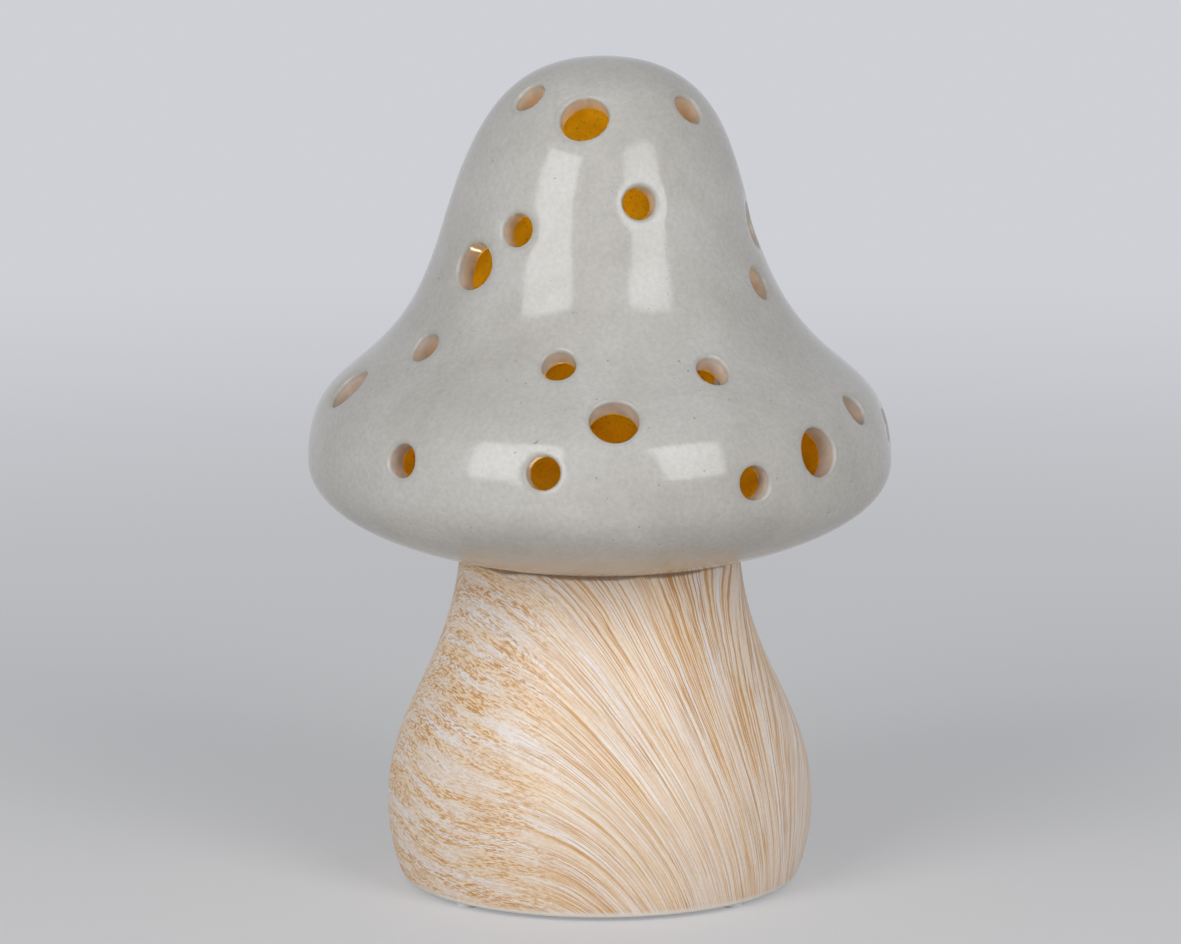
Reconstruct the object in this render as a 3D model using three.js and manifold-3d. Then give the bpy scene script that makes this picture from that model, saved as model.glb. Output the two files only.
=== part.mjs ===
// A ceramic mushroom table light, in millimetres with +Z up.
// The origin is the middle of the footprint, on the surface that the light stands on, and -Y is the front.
// A lift-off glazed cap, pierced by round light holes, stands on a hollow wood-grained stem. A battery light
// unit sits in the stem's bottom opening, held by a soft ring, with its LED on a post under a frosted dome.

import * as THREE from 'three';
import { mergeVertices } from 'three/addons/utils/BufferGeometryUtils.js';
import Module from 'manifold-3d';

const wasm = await Module();
wasm.setup();

// Clearances
const seatGap = 0.3;             // between a piece and what it rests on
const fitGap = 0.4;              // round a piece that drops into an opening

// Cap, measured from its collar face
const capHeight = 107.4;
const rimDiameter = 126.2;
const rimRise = 20.1;            // widest place above the collar face
const rimUpperReach = 25.9;      // how far the bell's curve holds the rim's upright direction
const rimLowerReach = 9.1;
const waistDiameter = 66.2;
const waistRise = 72.8;
const waistLean = 15.3;          // degrees from upright
const waistUpperReach = 19.7;
const waistLowerReach = 39.7;
const crownReach = 22.5;         // how far the crown's curve stays level
const collarDiameter = 63.4;
const undersideSlope = 12.6;     // degrees from level, at the collar
const undersideReach = 19.6;
const capWall = 4.5;
const spigotDepth = 8;
const spigotWall = 4;
const spigotPlay = 0.6;          // radial, between the spigot and the neck's bore
const spigotChamfer = 0.8;

// Light holes in the cap
const largeHoleDiameter = 10.3;
const smallHoleDiameter = 7.1;
const holeOverrun = 3;           // how far a hole's cut runs past both faces of the curved wall

// Stem, measured from its foot face
const stemHeight = 71.3;
const neckDiameter = 60.8;
const neckLean = 4.7;            // degrees from upright
const neckReach = 25.9;
const bellyOverhang = 2.9;       // beyond the foot's edge
const bellyRise = 16.1;
const bellyUpperReach = 21.4;
const bellyLowerReach = 4;
const footRingWidth = 6.4;       // from the light unit's opening to the foot's edge
const footLean = 25;             // degrees from upright
const footReach = 4.6;
const footChamfer = 0.8;
const stemWall = 4.5;
const stemFloor = 5;
const neckBoreRunout = 2;        // straight bore below the spigot's end
const floorFillet = 1;

// Foot pads, glued to the foot ring between its edges
const padMargin = 0.3;
const padHeight = 1;
const padCount = 4;

// Light unit, measured from the underside of its floor
const unitRecess = 1.5;          // floor of the unit above the foot face
const unitFloor = 2;
const unitPlay = 0.5;            // between the housing and the farthest boss in it
const unitRimHeight = 3.5;
const unitRimWall = 1.2;
const flangeHeight = 1.2;
const ringWall = 1.5;
const ringLip = 1.6;
const ringLipHeight = 1.7;

// Batteries, size AAA
const batteryDiameter = 10.5;
const batteryLength = 44.5;
const nubDiameter = 3.8;
const nubLength = 0.9;
const batteryEdge = 0.6;
const batterySpacing = 11.2;     // between the two axes
const bayPlay = 0.45;            // beside and above the batteries
const bayWall = 1.5;
const bayRoof = 1.2;
const contactThickness = 0.4;
const contactWidth = 7;
const contactHeight = 7.6;
const springLength = 3.5;
const springWire = 0.6;
const springTurns = 3;
const springWideRadius = 3.5;
const springNarrowRadius = 2.1;

// Battery door
const doorThickness = 1.5;
const doorTabWidth = 9;
const doorTabEdge = 0.6;         // beyond the screw's recess
const tongueWidth = 2.2;
const tongueThickness = 1.1;
const tongueReach = 1.8;
const tongueStem = 1.1;          // the upright that joins a tongue to the door
const tongueHeadroom = 1.6;      // above the tongues, for their swing
const hingePocketDepth = 1.4;    // behind the door's hinge edge, for the tongues
const fingerGrooveDepth = 0.5;
const fingerGrooveWidth = 0.8;
const fingerGrooveLength = 8;
const fingerGrooveSpacing = 2;
const fingerGrooveCount = 3;

// Screws
const screwShank = 2;
const screwHead = 4.2;
const screwHeadHeight = 1.2;
const screwSlotWidth = 0.6;
const screwSlotDepth = 0.5;
const screwPlay = 0.3;
const doorScrewSink = 0.6;
const doorScrewBite = 3;
const doorScrewPlay = 0.5;
const housingScrewBite = 7;
const housingScrewAngle = 40;    // degrees from the X axis, mirrored to four places
const bossWall = 1.6;
const bossRunout = 1;            // bore beyond a screw's end

// Housing over the batteries
const housingHeadroom = 4.15;    // above the circuit board
const housingEdge = 1;           // chamfer of its rim
const housingWall = 1.3;
const housingRoof = 1.5;

// Post that carries the LED, snapped into the housing's roof
const postDiameter = 16;
const postHeight = 19.7;
const postWall = 1.8;
const postCap = 1.5;
const postFlangeReach = 2;       // beyond the post
const postFlangeHeight = 1.2;
const postShoulder = 0.6;        // from the post's side in to its spigot's
const postSnapReach = 0.3;       // beyond the roof's hole
const postSnapHeight = 0.8;

// Circuit board and what it carries
const boardWidth = 24;
const boardLength = 38;
const boardThickness = 1.2;
const boardHoleRadius = 1;
const boardHoleInset = 2.5;
const boardPadInset = 3;
const chipSize = 5;
const chipHeight = 1.6;
const resistorLength = 6;
const resistorDiameter = 2.2;

// LED and its dome
const ledDiameter = 5;
const ledHeight = 8.6;
const ledFlangeDiameter = 5.8;
const ledFlangeHeight = 1;
const ledLegSpacing = 2.54;
const ledLegWidth = 0.6;
const domeDiameter = 15.4;
const domeWall = 1.2;
const domeStraight = 6;

// Slide switch, beside the battery bay
const switchGap = 5.9;           // between the bay's wall and the switch
const switchWidth = 6.6;
const switchLength = 13;
const switchHeight = 5;
const knobWidth = 2.4;
const knobLength = 4;
const knobTravel = 4;
const knobProud = 0.5;
const knobDepth = 1.6;           // how far the knob reaches into the switch
const knobGripSpacing = 1.2;
const knobGripWidth = 0.4;
const knobGripDepth = 0.3;

// Wires
const wireDiameter = 1.2;
const wireArch = 3;
const switchWireOffset = 3;

// How finely round shapes and bends are divided
const bodySides = 40;
const unitSides = 32;
const mediumSides = 20;
const smallSides = 12;
const thinSides = 6;
const largeHoleSides = 12;
const smallHoleSides = 10;
const capOutsideSteps = [5, 8, 6];
const capInsideSteps = [3, 5, 4];
const bellMeasureSteps = [1, 40, 40];
const heelSteps = 4;
const stemBodySteps = 10;
const wireSteps = 8;

// Sizes that follow from the ones above
const stemBase = padHeight;
const collarZ = stemBase + stemHeight + seatGap;
const unitZ = stemBase + unitRecess;
const neckBoreRadius = neckDiameter / 2 - stemWall;
const spigotRadius = neckBoreRadius - spigotPlay;
const capBoreRadius = spigotRadius - spigotWall;
const batteryRadius = batteryDiameter / 2;
const bayHalfWidth = batterySpacing / 2 + batteryRadius + bayPlay;
const bayHalfLength = (batteryLength + springLength + 2 * contactThickness + 3 * seatGap) / 2;
const batteryZ = doorThickness + 3 * seatGap + batteryRadius + seatGap;
const bayCeiling = batteryZ + batteryRadius + bayPlay;
const bayTop = bayCeiling + bayRoof;
const boardZ = bayTop + seatGap;
const boardTop = boardZ + boardThickness;
const doorHalfWidth = bayHalfWidth + bayWall / 2;
const doorBack = -(bayHalfLength + bayWall / 2);
const doorFront = bayHalfLength + bayWall / 2;
const doorTabLength = screwHead + 2 * (screwPlay + doorTabEdge);
const doorScrewY = doorFront + doorTabLength / 2;
const doorBossRadius = screwShank / 2 + doorScrewPlay + bossWall;
const housingInnerRadius = doorScrewY + doorBossRadius + unitPlay;
const housingRadius = housingInnerRadius + housingWall;
const unitRadius = housingRadius + seatGap + unitRimWall;
const openingRadius = unitRadius + seatGap + ringWall + seatGap;
const footRadius = openingRadius + footRingWidth;
const bellyRadius = footRadius + bellyOverhang;
const screwBossRadius = screwHead / 2 + screwPlay + bossWall / 2;
const housingScrewRadius = housingInnerRadius - screwBossRadius - 2 * unitPlay;
const housingHeight = boardTop + housingHeadroom + housingRoof;
const roofUnderside = housingHeight - housingRoof;
const tongueX = bayHalfWidth - tongueWidth / 2 - fitGap;
const postRadius = postDiameter / 2;
const postSpigotRadius = postRadius - postShoulder;
const roofHoleRadius = postSpigotRadius + seatGap;
const postFoot = housingHeight + seatGap;
const postTop = postFoot + postHeight;
const knobRest = -knobTravel / 2;
const switchX = bayHalfWidth + bayWall + switchGap + switchWidth / 2;
const beyond = 1;                // how far a cutting tool runs past the face that it opens
const radians = (degrees) => THREE.MathUtils.degToRad(degrees);

// Materials
const glaze = new THREE.MeshStandardMaterial({ color: 0xb9b9b2, roughness: 0.12, metalness: 0 });
const woodPrint = new THREE.MeshStandardMaterial({ color: 0xe1cdb9, roughness: 0.5, metalness: 0 });
const whitePlastic = new THREE.MeshStandardMaterial({ color: 0xe9e8e4, roughness: 0.45, metalness: 0 });
const clearRubber = new THREE.MeshStandardMaterial({ color: 0xd8d8d4, roughness: 0.7, metalness: 0 });
const blackPlastic = new THREE.MeshStandardMaterial({ color: 0x1b1b1c, roughness: 0.5, metalness: 0 });
const steel = new THREE.MeshStandardMaterial({ color: 0xb8bcc0, roughness: 0.3, metalness: 1 });
const batteryJacket = new THREE.MeshStandardMaterial({ color: 0x2f6f58, roughness: 0.35, metalness: 0.3 });
const boardGreen = new THREE.MeshStandardMaterial({ color: 0x1f5a35, roughness: 0.4, metalness: 0 });
const resistorTan = new THREE.MeshStandardMaterial({ color: 0xd3b184, roughness: 0.5, metalness: 0 });
const warmLens = new THREE.MeshStandardMaterial({ color: 0xffd98a, roughness: 0.2, metalness: 0 });
const frosted = new THREE.MeshStandardMaterial({ color: 0xfff0d2, roughness: 0.6, metalness: 0 });
const redWire = new THREE.MeshStandardMaterial({ color: 0xb02a22, roughness: 0.5, metalness: 0 });
const blackWire = new THREE.MeshStandardMaterial({ color: 0x202022, roughness: 0.5, metalness: 0 });

// Turns a closed geometry into a solid that can be joined and cut.
function solidOf(geometry) {
  const bare = geometry.clone();
  bare.deleteAttribute('normal');
  bare.deleteAttribute('uv');
  const merged = mergeVertices(bare, 1e-4);
  const corners = merged.index.array;
  const kept = [];
  for (let i = 0; i < corners.length; i += 3) {
    const [a, b, c] = [corners[i], corners[i + 1], corners[i + 2]];
    if (a !== b && b !== c && c !== a) {
      kept.push(a, b, c);
    }
  }
  return new wasm.Manifold(new wasm.Mesh({
    numProp: 3,
    vertProperties: new Float32Array(merged.attributes.position.array),
    triVerts: new Uint32Array(kept),
  }));
}

function geometryOf(solid) {
  const mesh = solid.getMesh();
  const geometry = new THREE.BufferGeometry();
  geometry.setAttribute('position', new THREE.BufferAttribute(new Float32Array(mesh.vertProperties), 3));
  geometry.setIndex(new THREE.BufferAttribute(new Uint32Array(mesh.triVerts), 1));
  geometry.computeVertexNormals();
  return geometry;
}

const joined = (solids) => solids.reduce((sum, next) => sum.add(next));
const cut = (solid, tools) => solid.subtract(joined(tools));

// Basic solids. Each stands on the given height and is centred on the given place.
function turned(outline, sides) {
  const points = outline.map(([radius, height]) => new THREE.Vector2(radius, height));
  return solidOf(new THREE.LatheGeometry(points, sides).rotateX(Math.PI / 2));
}

function rod(radius, x, y, bottom, top, sides = smallSides) {
  const geometry = new THREE.CylinderGeometry(radius, radius, top - bottom, sides).rotateX(Math.PI / 2);
  return solidOf(geometry.translate(x, y, (bottom + top) / 2));
}

function block(xLow, xHigh, yLow, yHigh, zLow, zHigh) {
  const geometry = new THREE.BoxGeometry(xHigh - xLow, yHigh - yLow, zHigh - zLow);
  return solidOf(geometry.translate((xLow + xHigh) / 2, (yLow + yHigh) / 2, (zLow + zHigh) / 2));
}

// A ring with square corners, as a closed outline turned about the axis.
function ring(inner, outer, bottom, top, sides = unitSides) {
  return turned([[inner, bottom], [outer, bottom], [outer, top], [inner, top], [inner, bottom]], sides);
}

function piece(name, solid, material) {
  const mesh = new THREE.Mesh(geometryOf(solid), material);
  mesh.name = name;
  return mesh;
}

// Points of one smooth bend between two places, given the handle at each end.
function bend(start, startHandle, endHandle, end, steps) {
  const curve = new THREE.CubicBezierCurve(
    new THREE.Vector2(...start),
    new THREE.Vector2(...startHandle),
    new THREE.Vector2(...endHandle),
    new THREE.Vector2(...end),
  );
  return curve.getPoints(steps).map((point) => [point.x, point.y]);
}

// The same outline, moved square to itself into the wall. The outline runs upwards along the outside.
function inset(outline, wall) {
  return outline.map(([radius, height], i) => {
    const [fromRadius, fromHeight] = outline[Math.max(i - 1, 0)];
    const [toRadius, toHeight] = outline[Math.min(i + 1, outline.length - 1)];
    const length = Math.hypot(toRadius - fromRadius, toHeight - fromHeight);
    const outR = (toHeight - fromHeight) / length;
    const outZ = -(toRadius - fromRadius) / length;
    return [radius - wall * outR, height - wall * outZ];
  });
}

// Cap

const rimRadius = rimDiameter / 2;
const waistRadius = waistDiameter / 2;
const collarRadius = collarDiameter / 2;

function capOutside(undersideSteps, flareSteps, crownSteps) {
  const slope = radians(undersideSlope);
  const lean = radians(waistLean);
  const underside = bend(
    [collarRadius, 0],
    [collarRadius + undersideReach * Math.cos(slope), undersideReach * Math.sin(slope)],
    [rimRadius, rimRise - rimLowerReach],
    [rimRadius, rimRise],
    undersideSteps,
  );
  const flare = bend(
    [rimRadius, rimRise],
    [rimRadius, rimRise + rimUpperReach],
    [waistRadius + waistLowerReach * Math.sin(lean), waistRise - waistLowerReach * Math.cos(lean)],
    [waistRadius, waistRise],
    flareSteps,
  );
  const crown = bend(
    [waistRadius, waistRise],
    [waistRadius - waistUpperReach * Math.sin(lean), waistRise + waistUpperReach * Math.cos(lean)],
    [crownReach, capHeight],
    [0, capHeight],
    crownSteps,
  );
  return { underside, bell: [...flare, ...crown.slice(1)] };
}

// Each light hole lies at an azimuth in degrees, from the front towards +X, and at a share of the way along
// the bell's surface from the crown down to the rim.
const largeHoles = [
  [-10, 0.23], [-49, 0.525], [85, 0.47], [-74, 0.825], [3, 0.83], [48, 0.925],
  [142, 0.25], [176, 0.5], [112, 0.86], [-136, 0.9], [-158, 0.6],
];
const smallHoles = [
  [-52, 0.19], [55, 0.22], [16, 0.395], [-32, 0.45], [67, 0.57], [-56, 0.695], [-11, 0.705], [30, 0.725],
  [67, 0.865], [-42, 0.935], [-11, 0.935], [31, 0.965],
  [-128, 0.24], [-98, 0.41], [132, 0.44], [-128, 0.47], [158, 0.7], [118, 0.66], [-112, 0.74], [-170, 0.8],
  [150, 0.93], [-104, 0.93], [86, 0.93], [-168, 0.955],
];

function placeOnBell(azimuth, share) {
  const { bell } = capOutside(...bellMeasureSteps);
  const path = [...bell].reverse();
  const rim = path.length - 1;
  const along = [0];
  for (let i = 1; i <= rim; i += 1) {
    along.push(along[i - 1] + Math.hypot(path[i][0] - path[i - 1][0], path[i][1] - path[i - 1][1]));
  }
  const goal = share * along[rim];
  const i = Math.max(1, along.findIndex((length) => length >= goal));
  const t = (goal - along[i - 1]) / (along[i] - along[i - 1]);
  const radius = THREE.MathUtils.lerp(path[i - 1][0], path[i][0], t);
  const height = THREE.MathUtils.lerp(path[i - 1][1], path[i][1], t);
  const angle = radians(azimuth);
  const outward = new THREE.Vector2(path[i - 1][1] - path[i][1], path[i][0] - path[i - 1][0]).normalize();
  return {
    centre: new THREE.Vector3(radius * Math.sin(angle), -radius * Math.cos(angle), height),
    normal: new THREE.Vector3(outward.x * Math.sin(angle), -outward.x * Math.cos(angle), outward.y),
  };
}

function holeTool([azimuth, share], diameter, sides) {
  const { centre, normal } = placeOnBell(azimuth, share);
  const turn = new THREE.Quaternion().setFromUnitVectors(new THREE.Vector3(0, 1, 0), normal);
  const middle = centre.clone().addScaledVector(normal, -capWall / 2);
  const geometry = new THREE.CylinderGeometry(diameter / 2, diameter / 2, capWall + 2 * holeOverrun, sides);
  geometry.applyQuaternion(turn);
  return solidOf(geometry.translate(middle.x, middle.y, middle.z));
}

function makeCap() {
  const { underside, bell } = capOutside(...capOutsideSteps);
  const outside = [...underside, ...bell.slice(1)];
  const coarse = capOutside(...capInsideSteps);
  const hollowFloor = capWall;
  const inside = inset([...coarse.underside, ...coarse.bell.slice(1)], capWall)
    .filter(([radius, height]) => height > hollowFloor + seatGap && radius > capWall / 2)
    .reverse();
  const shell = turned([
    [0, capHeight - capWall],
    ...inside,
    [collarRadius, hollowFloor],
    [capBoreRadius, hollowFloor],
    [capBoreRadius, -spigotDepth],
    [spigotRadius - spigotChamfer, -spigotDepth],
    [spigotRadius, -spigotDepth + spigotChamfer],
    [spigotRadius, 0],
    ...outside,
  ], bodySides);
  const tools = [
    ...largeHoles.map((place) => holeTool(place, largeHoleDiameter, largeHoleSides)),
    ...smallHoles.map((place) => holeTool(place, smallHoleDiameter, smallHoleSides)),
  ];
  return piece('cap', cut(shell, tools), glaze);
}

// Stem

function makeStem() {
  const neckRadius = neckDiameter / 2;
  const lean = radians(neckLean);
  const flare = radians(footLean);
  const heel = bend(
    [footRadius, footChamfer],
    [footRadius + footReach * Math.sin(flare), footChamfer + footReach * Math.cos(flare)],
    [bellyRadius, bellyRise - bellyLowerReach],
    [bellyRadius, bellyRise],
    heelSteps,
  );
  const body = bend(
    [bellyRadius, bellyRise],
    [bellyRadius, bellyRise + bellyUpperReach],
    [neckRadius + neckReach * Math.sin(lean), stemHeight - neckReach * Math.cos(lean)],
    [neckRadius, stemHeight],
    stemBodySteps,
  );
  const outside = [...heel, ...body.slice(1)];
  const boreBottom = stemHeight - spigotDepth - neckBoreRunout;
  const inside = inset(outside, stemWall)
    .filter(([, height]) => height > stemFloor + floorFillet && height < boreBottom - floorFillet)
    .reverse();
  const shell = turned([
    [openingRadius, 0],
    [footRadius - footChamfer, 0],
    ...outside,
    [neckBoreRadius, stemHeight],
    [neckBoreRadius, boreBottom],
    ...inside,
    [inside.at(-1)[0] - floorFillet, stemFloor],
    [openingRadius, stemFloor],
    [openingRadius, 0],
  ], bodySides);
  return piece('stem', shell, woodPrint);
}

function makePad(index) {
  const footEdge = footRadius - footChamfer;
  const middle = (openingRadius + footEdge) / 2;
  const padRadius = (footEdge - openingRadius) / 2 - padMargin;
  const angle = (index + 0.5) * 2 * Math.PI / padCount;
  const pad = piece(`foot_pad_${index + 1}`, rod(padRadius, 0, 0, 0, padHeight, mediumSides), clearRubber);
  pad.position.set(middle * Math.cos(angle), middle * Math.sin(angle), 0);
  return pad;
}

// Soft ring round the light unit, with a lip that catches over the stem's floor
function makeRetainingRing() {
  const inner = unitRadius + seatGap;
  const outer = inner + ringWall;
  const bottom = unitRecess + flangeHeight + seatGap;
  const lipBottom = stemFloor + seatGap;
  const lipTop = lipBottom + ringLipHeight;
  return piece('retaining_ring', turned([
    [inner, bottom],
    [outer, bottom],
    [outer, lipBottom],
    [outer + ringLip, lipBottom],
    [outer + ringLip, lipBottom + ringLipHeight / 2],
    [outer, lipTop],
    [inner, lipTop],
    [inner, bottom],
  ], unitSides), clearRubber);
}

// Light unit

const screwPlaces = [[1, 1], [-1, 1], [-1, -1], [1, -1]].map(([sideX, sideY]) => [
  sideX * housingScrewRadius * Math.cos(radians(housingScrewAngle)),
  sideY * housingScrewRadius * Math.sin(radians(housingScrewAngle)),
]);
const headSink = screwHeadHeight + seatGap;
const baseBossTop = unitFloor + headSink;
const doorBossTop = doorThickness + seatGap + doorScrewBite + bossRunout + bossWall / 2;

// The room that the switch's knob travels in
function knobTrack(bottom, top) {
  const halfWidth = knobWidth / 2 + fitGap;
  const halfLength = (knobLength + knobTravel) / 2 + fitGap;
  return block(switchX - halfWidth, switchX + halfWidth, -halfLength, halfLength, bottom, top);
}

function makeUnitBase() {
  const floor = rod(unitRadius, 0, 0, 0, unitFloor, unitSides);
  const flange = rod(openingRadius - fitGap, 0, 0, 0, flangeHeight, unitSides);
  const rim = ring(unitRadius - unitRimWall, unitRadius, unitFloor / 2, unitFloor + unitRimHeight);
  const bayBack = doorBack - hingePocketDepth - bayWall;
  const bay = block(
    -bayHalfWidth - bayWall, bayHalfWidth + bayWall, bayBack, bayHalfLength + bayWall, unitFloor / 2, bayTop,
  );
  const doorBoss = rod(doorBossRadius, 0, doorScrewY, unitFloor / 2, doorBossTop);
  const bosses = screwPlaces.map(([x, y]) => rod(screwBossRadius, x, y, unitFloor / 2, baseBossTop));
  const wallBottom = doorThickness + seatGap;
  const pocketTop = unitFloor + seatGap + tongueThickness + tongueHeadroom;
  const doorRoom = block(
    -doorHalfWidth - fitGap / 2, doorHalfWidth + fitGap / 2, doorBack - fitGap / 2, doorFront + fitGap / 2,
    -beyond, wallBottom,
  );
  const tabRoom = block(
    -doorTabWidth / 2 - fitGap / 2, doorTabWidth / 2 + fitGap / 2, 0, doorFront + doorTabLength + fitGap / 2,
    -beyond, wallBottom,
  );
  const batteryRoom = block(-bayHalfWidth, bayHalfWidth, -bayHalfLength, bayHalfLength, 0, bayCeiling);
  const hingePocket = block(
    -bayHalfWidth, bayHalfWidth, doorBack - fitGap / 2, -bayHalfLength + beyond, 0, pocketTop,
  );
  const tonguePockets = [-tongueX, tongueX].map((x) => block(
    x - tongueWidth / 2 - fitGap, x + tongueWidth / 2 + fitGap,
    doorBack - tongueReach - 2 * fitGap, -bayHalfLength + beyond, unitFloor, pocketTop,
  ));
  const tabRoomHalf = contactWidth / 4 + fitGap;
  const tabSlots = [-1, 1].map((side) => block(
    side * batterySpacing / 2 - tabRoomHalf, side * batterySpacing / 2 + tabRoomHalf,
    bayHalfLength - contactThickness - 2 * seatGap, bayHalfLength + seatGap,
    bayCeiling - beyond, bayTop + beyond,
  ));
  const doorScrewBore = rod(
    screwShank / 2 + doorScrewPlay, 0, doorScrewY, -beyond, doorBossTop - bossWall / 2,
  );
  const screwBores = screwPlaces.flatMap(([x, y]) => [
    rod(screwHead / 2 + screwPlay, x, y, -beyond, headSink),
    rod(screwShank / 2 + screwPlay, x, y, -beyond, baseBossTop + beyond),
  ]);
  const knobSlot = knobTrack(-beyond, unitFloor + beyond);
  return piece('unit_base', cut(joined([floor, flange, rim, bay, doorBoss, ...bosses]), [
    doorRoom, tabRoom, batteryRoom, hingePocket, ...tonguePockets, ...tabSlots, doorScrewBore, ...screwBores,
    knobSlot,
  ]), whitePlastic);
}

function makeUnitHousing() {
  const bottom = unitFloor + seatGap;
  const shell = turned([
    [roofHoleRadius, roofUnderside],
    [housingInnerRadius, roofUnderside],
    [housingInnerRadius, bottom],
    [housingRadius, bottom],
    [housingRadius, housingHeight - housingEdge],
    [housingRadius - housingEdge, housingHeight],
    [roofHoleRadius, housingHeight],
    [roofHoleRadius, roofUnderside],
  ], unitSides);
  const bossBottom = baseBossTop + seatGap;
  const bossRadius = screwShank / 2 + screwPlay + bossWall;
  const bossTop = housingHeight - housingRoof / 2;
  const bosses = screwPlaces.map(([x, y]) => rod(bossRadius, x, y, bossBottom, bossTop));
  const bores = screwPlaces.map(([x, y]) => rod(
    screwShank / 2 + screwPlay, x, y, bossBottom - beyond, baseBossTop + housingScrewBite + bossRunout,
  ));
  return piece('unit_housing', cut(joined([shell, ...bosses]), bores), whitePlastic);
}

// A tube with a closed top. Its flange rests on the housing's roof, and its spigot snaps into the hole there.
function makeLedPost() {
  const bore = postRadius - postWall;
  const snapTop = roofUnderside - seatGap;
  const flangeRadius = postRadius + postFlangeReach;
  const flangeTop = postFoot + postFlangeHeight;
  const tube = turned([
    [0, postTop - postCap],
    [bore, postTop - postCap],
    [bore, snapTop - postSnapHeight],
    [postSpigotRadius, snapTop - postSnapHeight],
    [roofHoleRadius + postSnapReach, snapTop],
    [postSpigotRadius, snapTop],
    [postSpigotRadius, postFoot],
    [flangeRadius, postFoot],
    [flangeRadius, flangeTop],
    [postRadius, flangeTop],
    [postRadius, postTop],
    [0, postTop],
  ], unitSides);
  const legHoleRadius = ledLegSpacing / 2 + ledLegWidth + seatGap;
  const legHole = rod(legHoleRadius, 0, 0, postTop - postCap - beyond, postTop + beyond);
  return piece('led_post', cut(tube, [legHole]), whitePlastic);
}

// A pan-head screw, with its slotted head down and its shank up
function makeScrew(name, x, y, headBottom, bite) {
  const headTop = headBottom + screwHeadHeight;
  const head = rod(screwHead / 2, x, y, headBottom, headTop);
  const shank = rod(screwShank / 2, x, y, headTop - screwHeadHeight / 2, headTop + bite, thinSides);
  const slot = block(
    x - screwHead, x + screwHead, y - screwSlotWidth / 2, y + screwSlotWidth / 2,
    headBottom - beyond, headBottom + screwSlotDepth,
  );
  return piece(name, cut(head.add(shank), [slot]), steel);
}

function makeHousingScrews() {
  return screwPlaces.map(([x, y], i) => makeScrew(
    `housing_screw_${i + 1}`, x, y, 0, unitFloor + seatGap + housingScrewBite,
  ));
}

function makeBatteryDoor() {
  const panel = block(-doorHalfWidth, doorHalfWidth, doorBack, doorFront, 0, doorThickness);
  const tab = block(
    -doorTabWidth / 2, doorTabWidth / 2, doorFront - beyond, doorFront + doorTabLength - fitGap / 2,
    0, doorThickness,
  );
  const tongueBottom = unitFloor + seatGap;
  const tongueTop = tongueBottom + tongueThickness;
  const tongues = [-tongueX, tongueX].flatMap((x) => {
    const sides = [x - tongueWidth / 2, x + tongueWidth / 2];
    return [
      block(...sides, doorBack, doorBack + tongueStem, doorThickness / 2, tongueTop),
      block(...sides, doorBack - tongueReach, doorBack + tongueStem / 2, tongueBottom, tongueTop),
    ];
  });
  const screwHole = rod(screwShank / 2 + screwPlay, 0, doorScrewY, -beyond, doorThickness + beyond);
  const screwSink = rod(screwHead / 2 + screwPlay, 0, doorScrewY, -beyond, doorScrewSink);
  const grooves = Array.from({ length: fingerGrooveCount }, (_, row) => {
    const y = doorFront - (row + 1) * fingerGrooveSpacing;
    return block(
      -fingerGrooveLength / 2, fingerGrooveLength / 2, y - fingerGrooveWidth, y, -beyond, fingerGrooveDepth,
    );
  });
  return piece('battery_door', cut(joined([panel, tab, ...tongues]), [screwHole, screwSink, ...grooves]),
    whitePlastic);
}

function makeDoorScrew() {
  const headBottom = doorScrewSink - seatGap - screwHeadHeight;
  const bite = doorThickness - doorScrewSink + seatGap + doorScrewBite;
  return makeScrew('door_screw', 0, doorScrewY, headBottom, bite);
}

// An AAA cell lying along Y, with its positive end towards +Y when facing is 1
function makeBattery(name, side, facing) {
  const canLength = batteryLength - nubLength;
  const outline = [
    [0, 0],
    [batteryRadius - batteryEdge, 0],
    [batteryRadius, batteryEdge],
    [batteryRadius, canLength - batteryEdge],
    [batteryRadius - batteryEdge, canLength],
    [nubDiameter / 2, canLength],
    [nubDiameter / 2, batteryLength],
    [0, batteryLength],
  ].map(([radius, height]) => new THREE.Vector2(radius, height));
  const geometry = new THREE.LatheGeometry(outline, mediumSides);
  const mesh = new THREE.Mesh(geometryOf(solidOf(geometry)), batteryJacket);
  mesh.name = name;
  mesh.rotation.z = facing > 0 ? 0 : Math.PI;
  const flatEnd = facing * (-bayHalfLength + contactThickness + 2 * seatGap + springLength);
  mesh.position.set(side * batterySpacing / 2, flatEnd, batteryZ);
  return mesh;
}

// A contact plate on an end wall, as high as the battery and clear of the door's tongues below it
function contactPlate(xLow, xHigh, wallSide) {
  const outer = wallSide * (bayHalfLength - seatGap / 2);
  const inner = outer - wallSide * contactThickness;
  const [low, high] = [batteryZ - contactHeight / 2, batteryZ + contactHeight / 2];
  return block(xLow, xHigh, Math.min(inner, outer), Math.max(inner, outer), low, high);
}

function makeContactBridge() {
  const reach = (batterySpacing + contactWidth) / 2;
  return piece('contact_bridge', contactPlate(-reach, reach, -1), steel);
}

function makeEndContact(name, side) {
  const x = side * batterySpacing / 2;
  const outer = bayHalfLength - seatGap / 2;
  const plate = contactPlate(x - contactWidth / 2, x + contactWidth / 2, 1);
  const tabHalf = contactWidth / 4;
  const tab = block(x - tabHalf, x + tabHalf, outer - contactThickness, outer, batteryZ, boardTop);
  return piece(name, plate.add(tab), steel);
}

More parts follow.
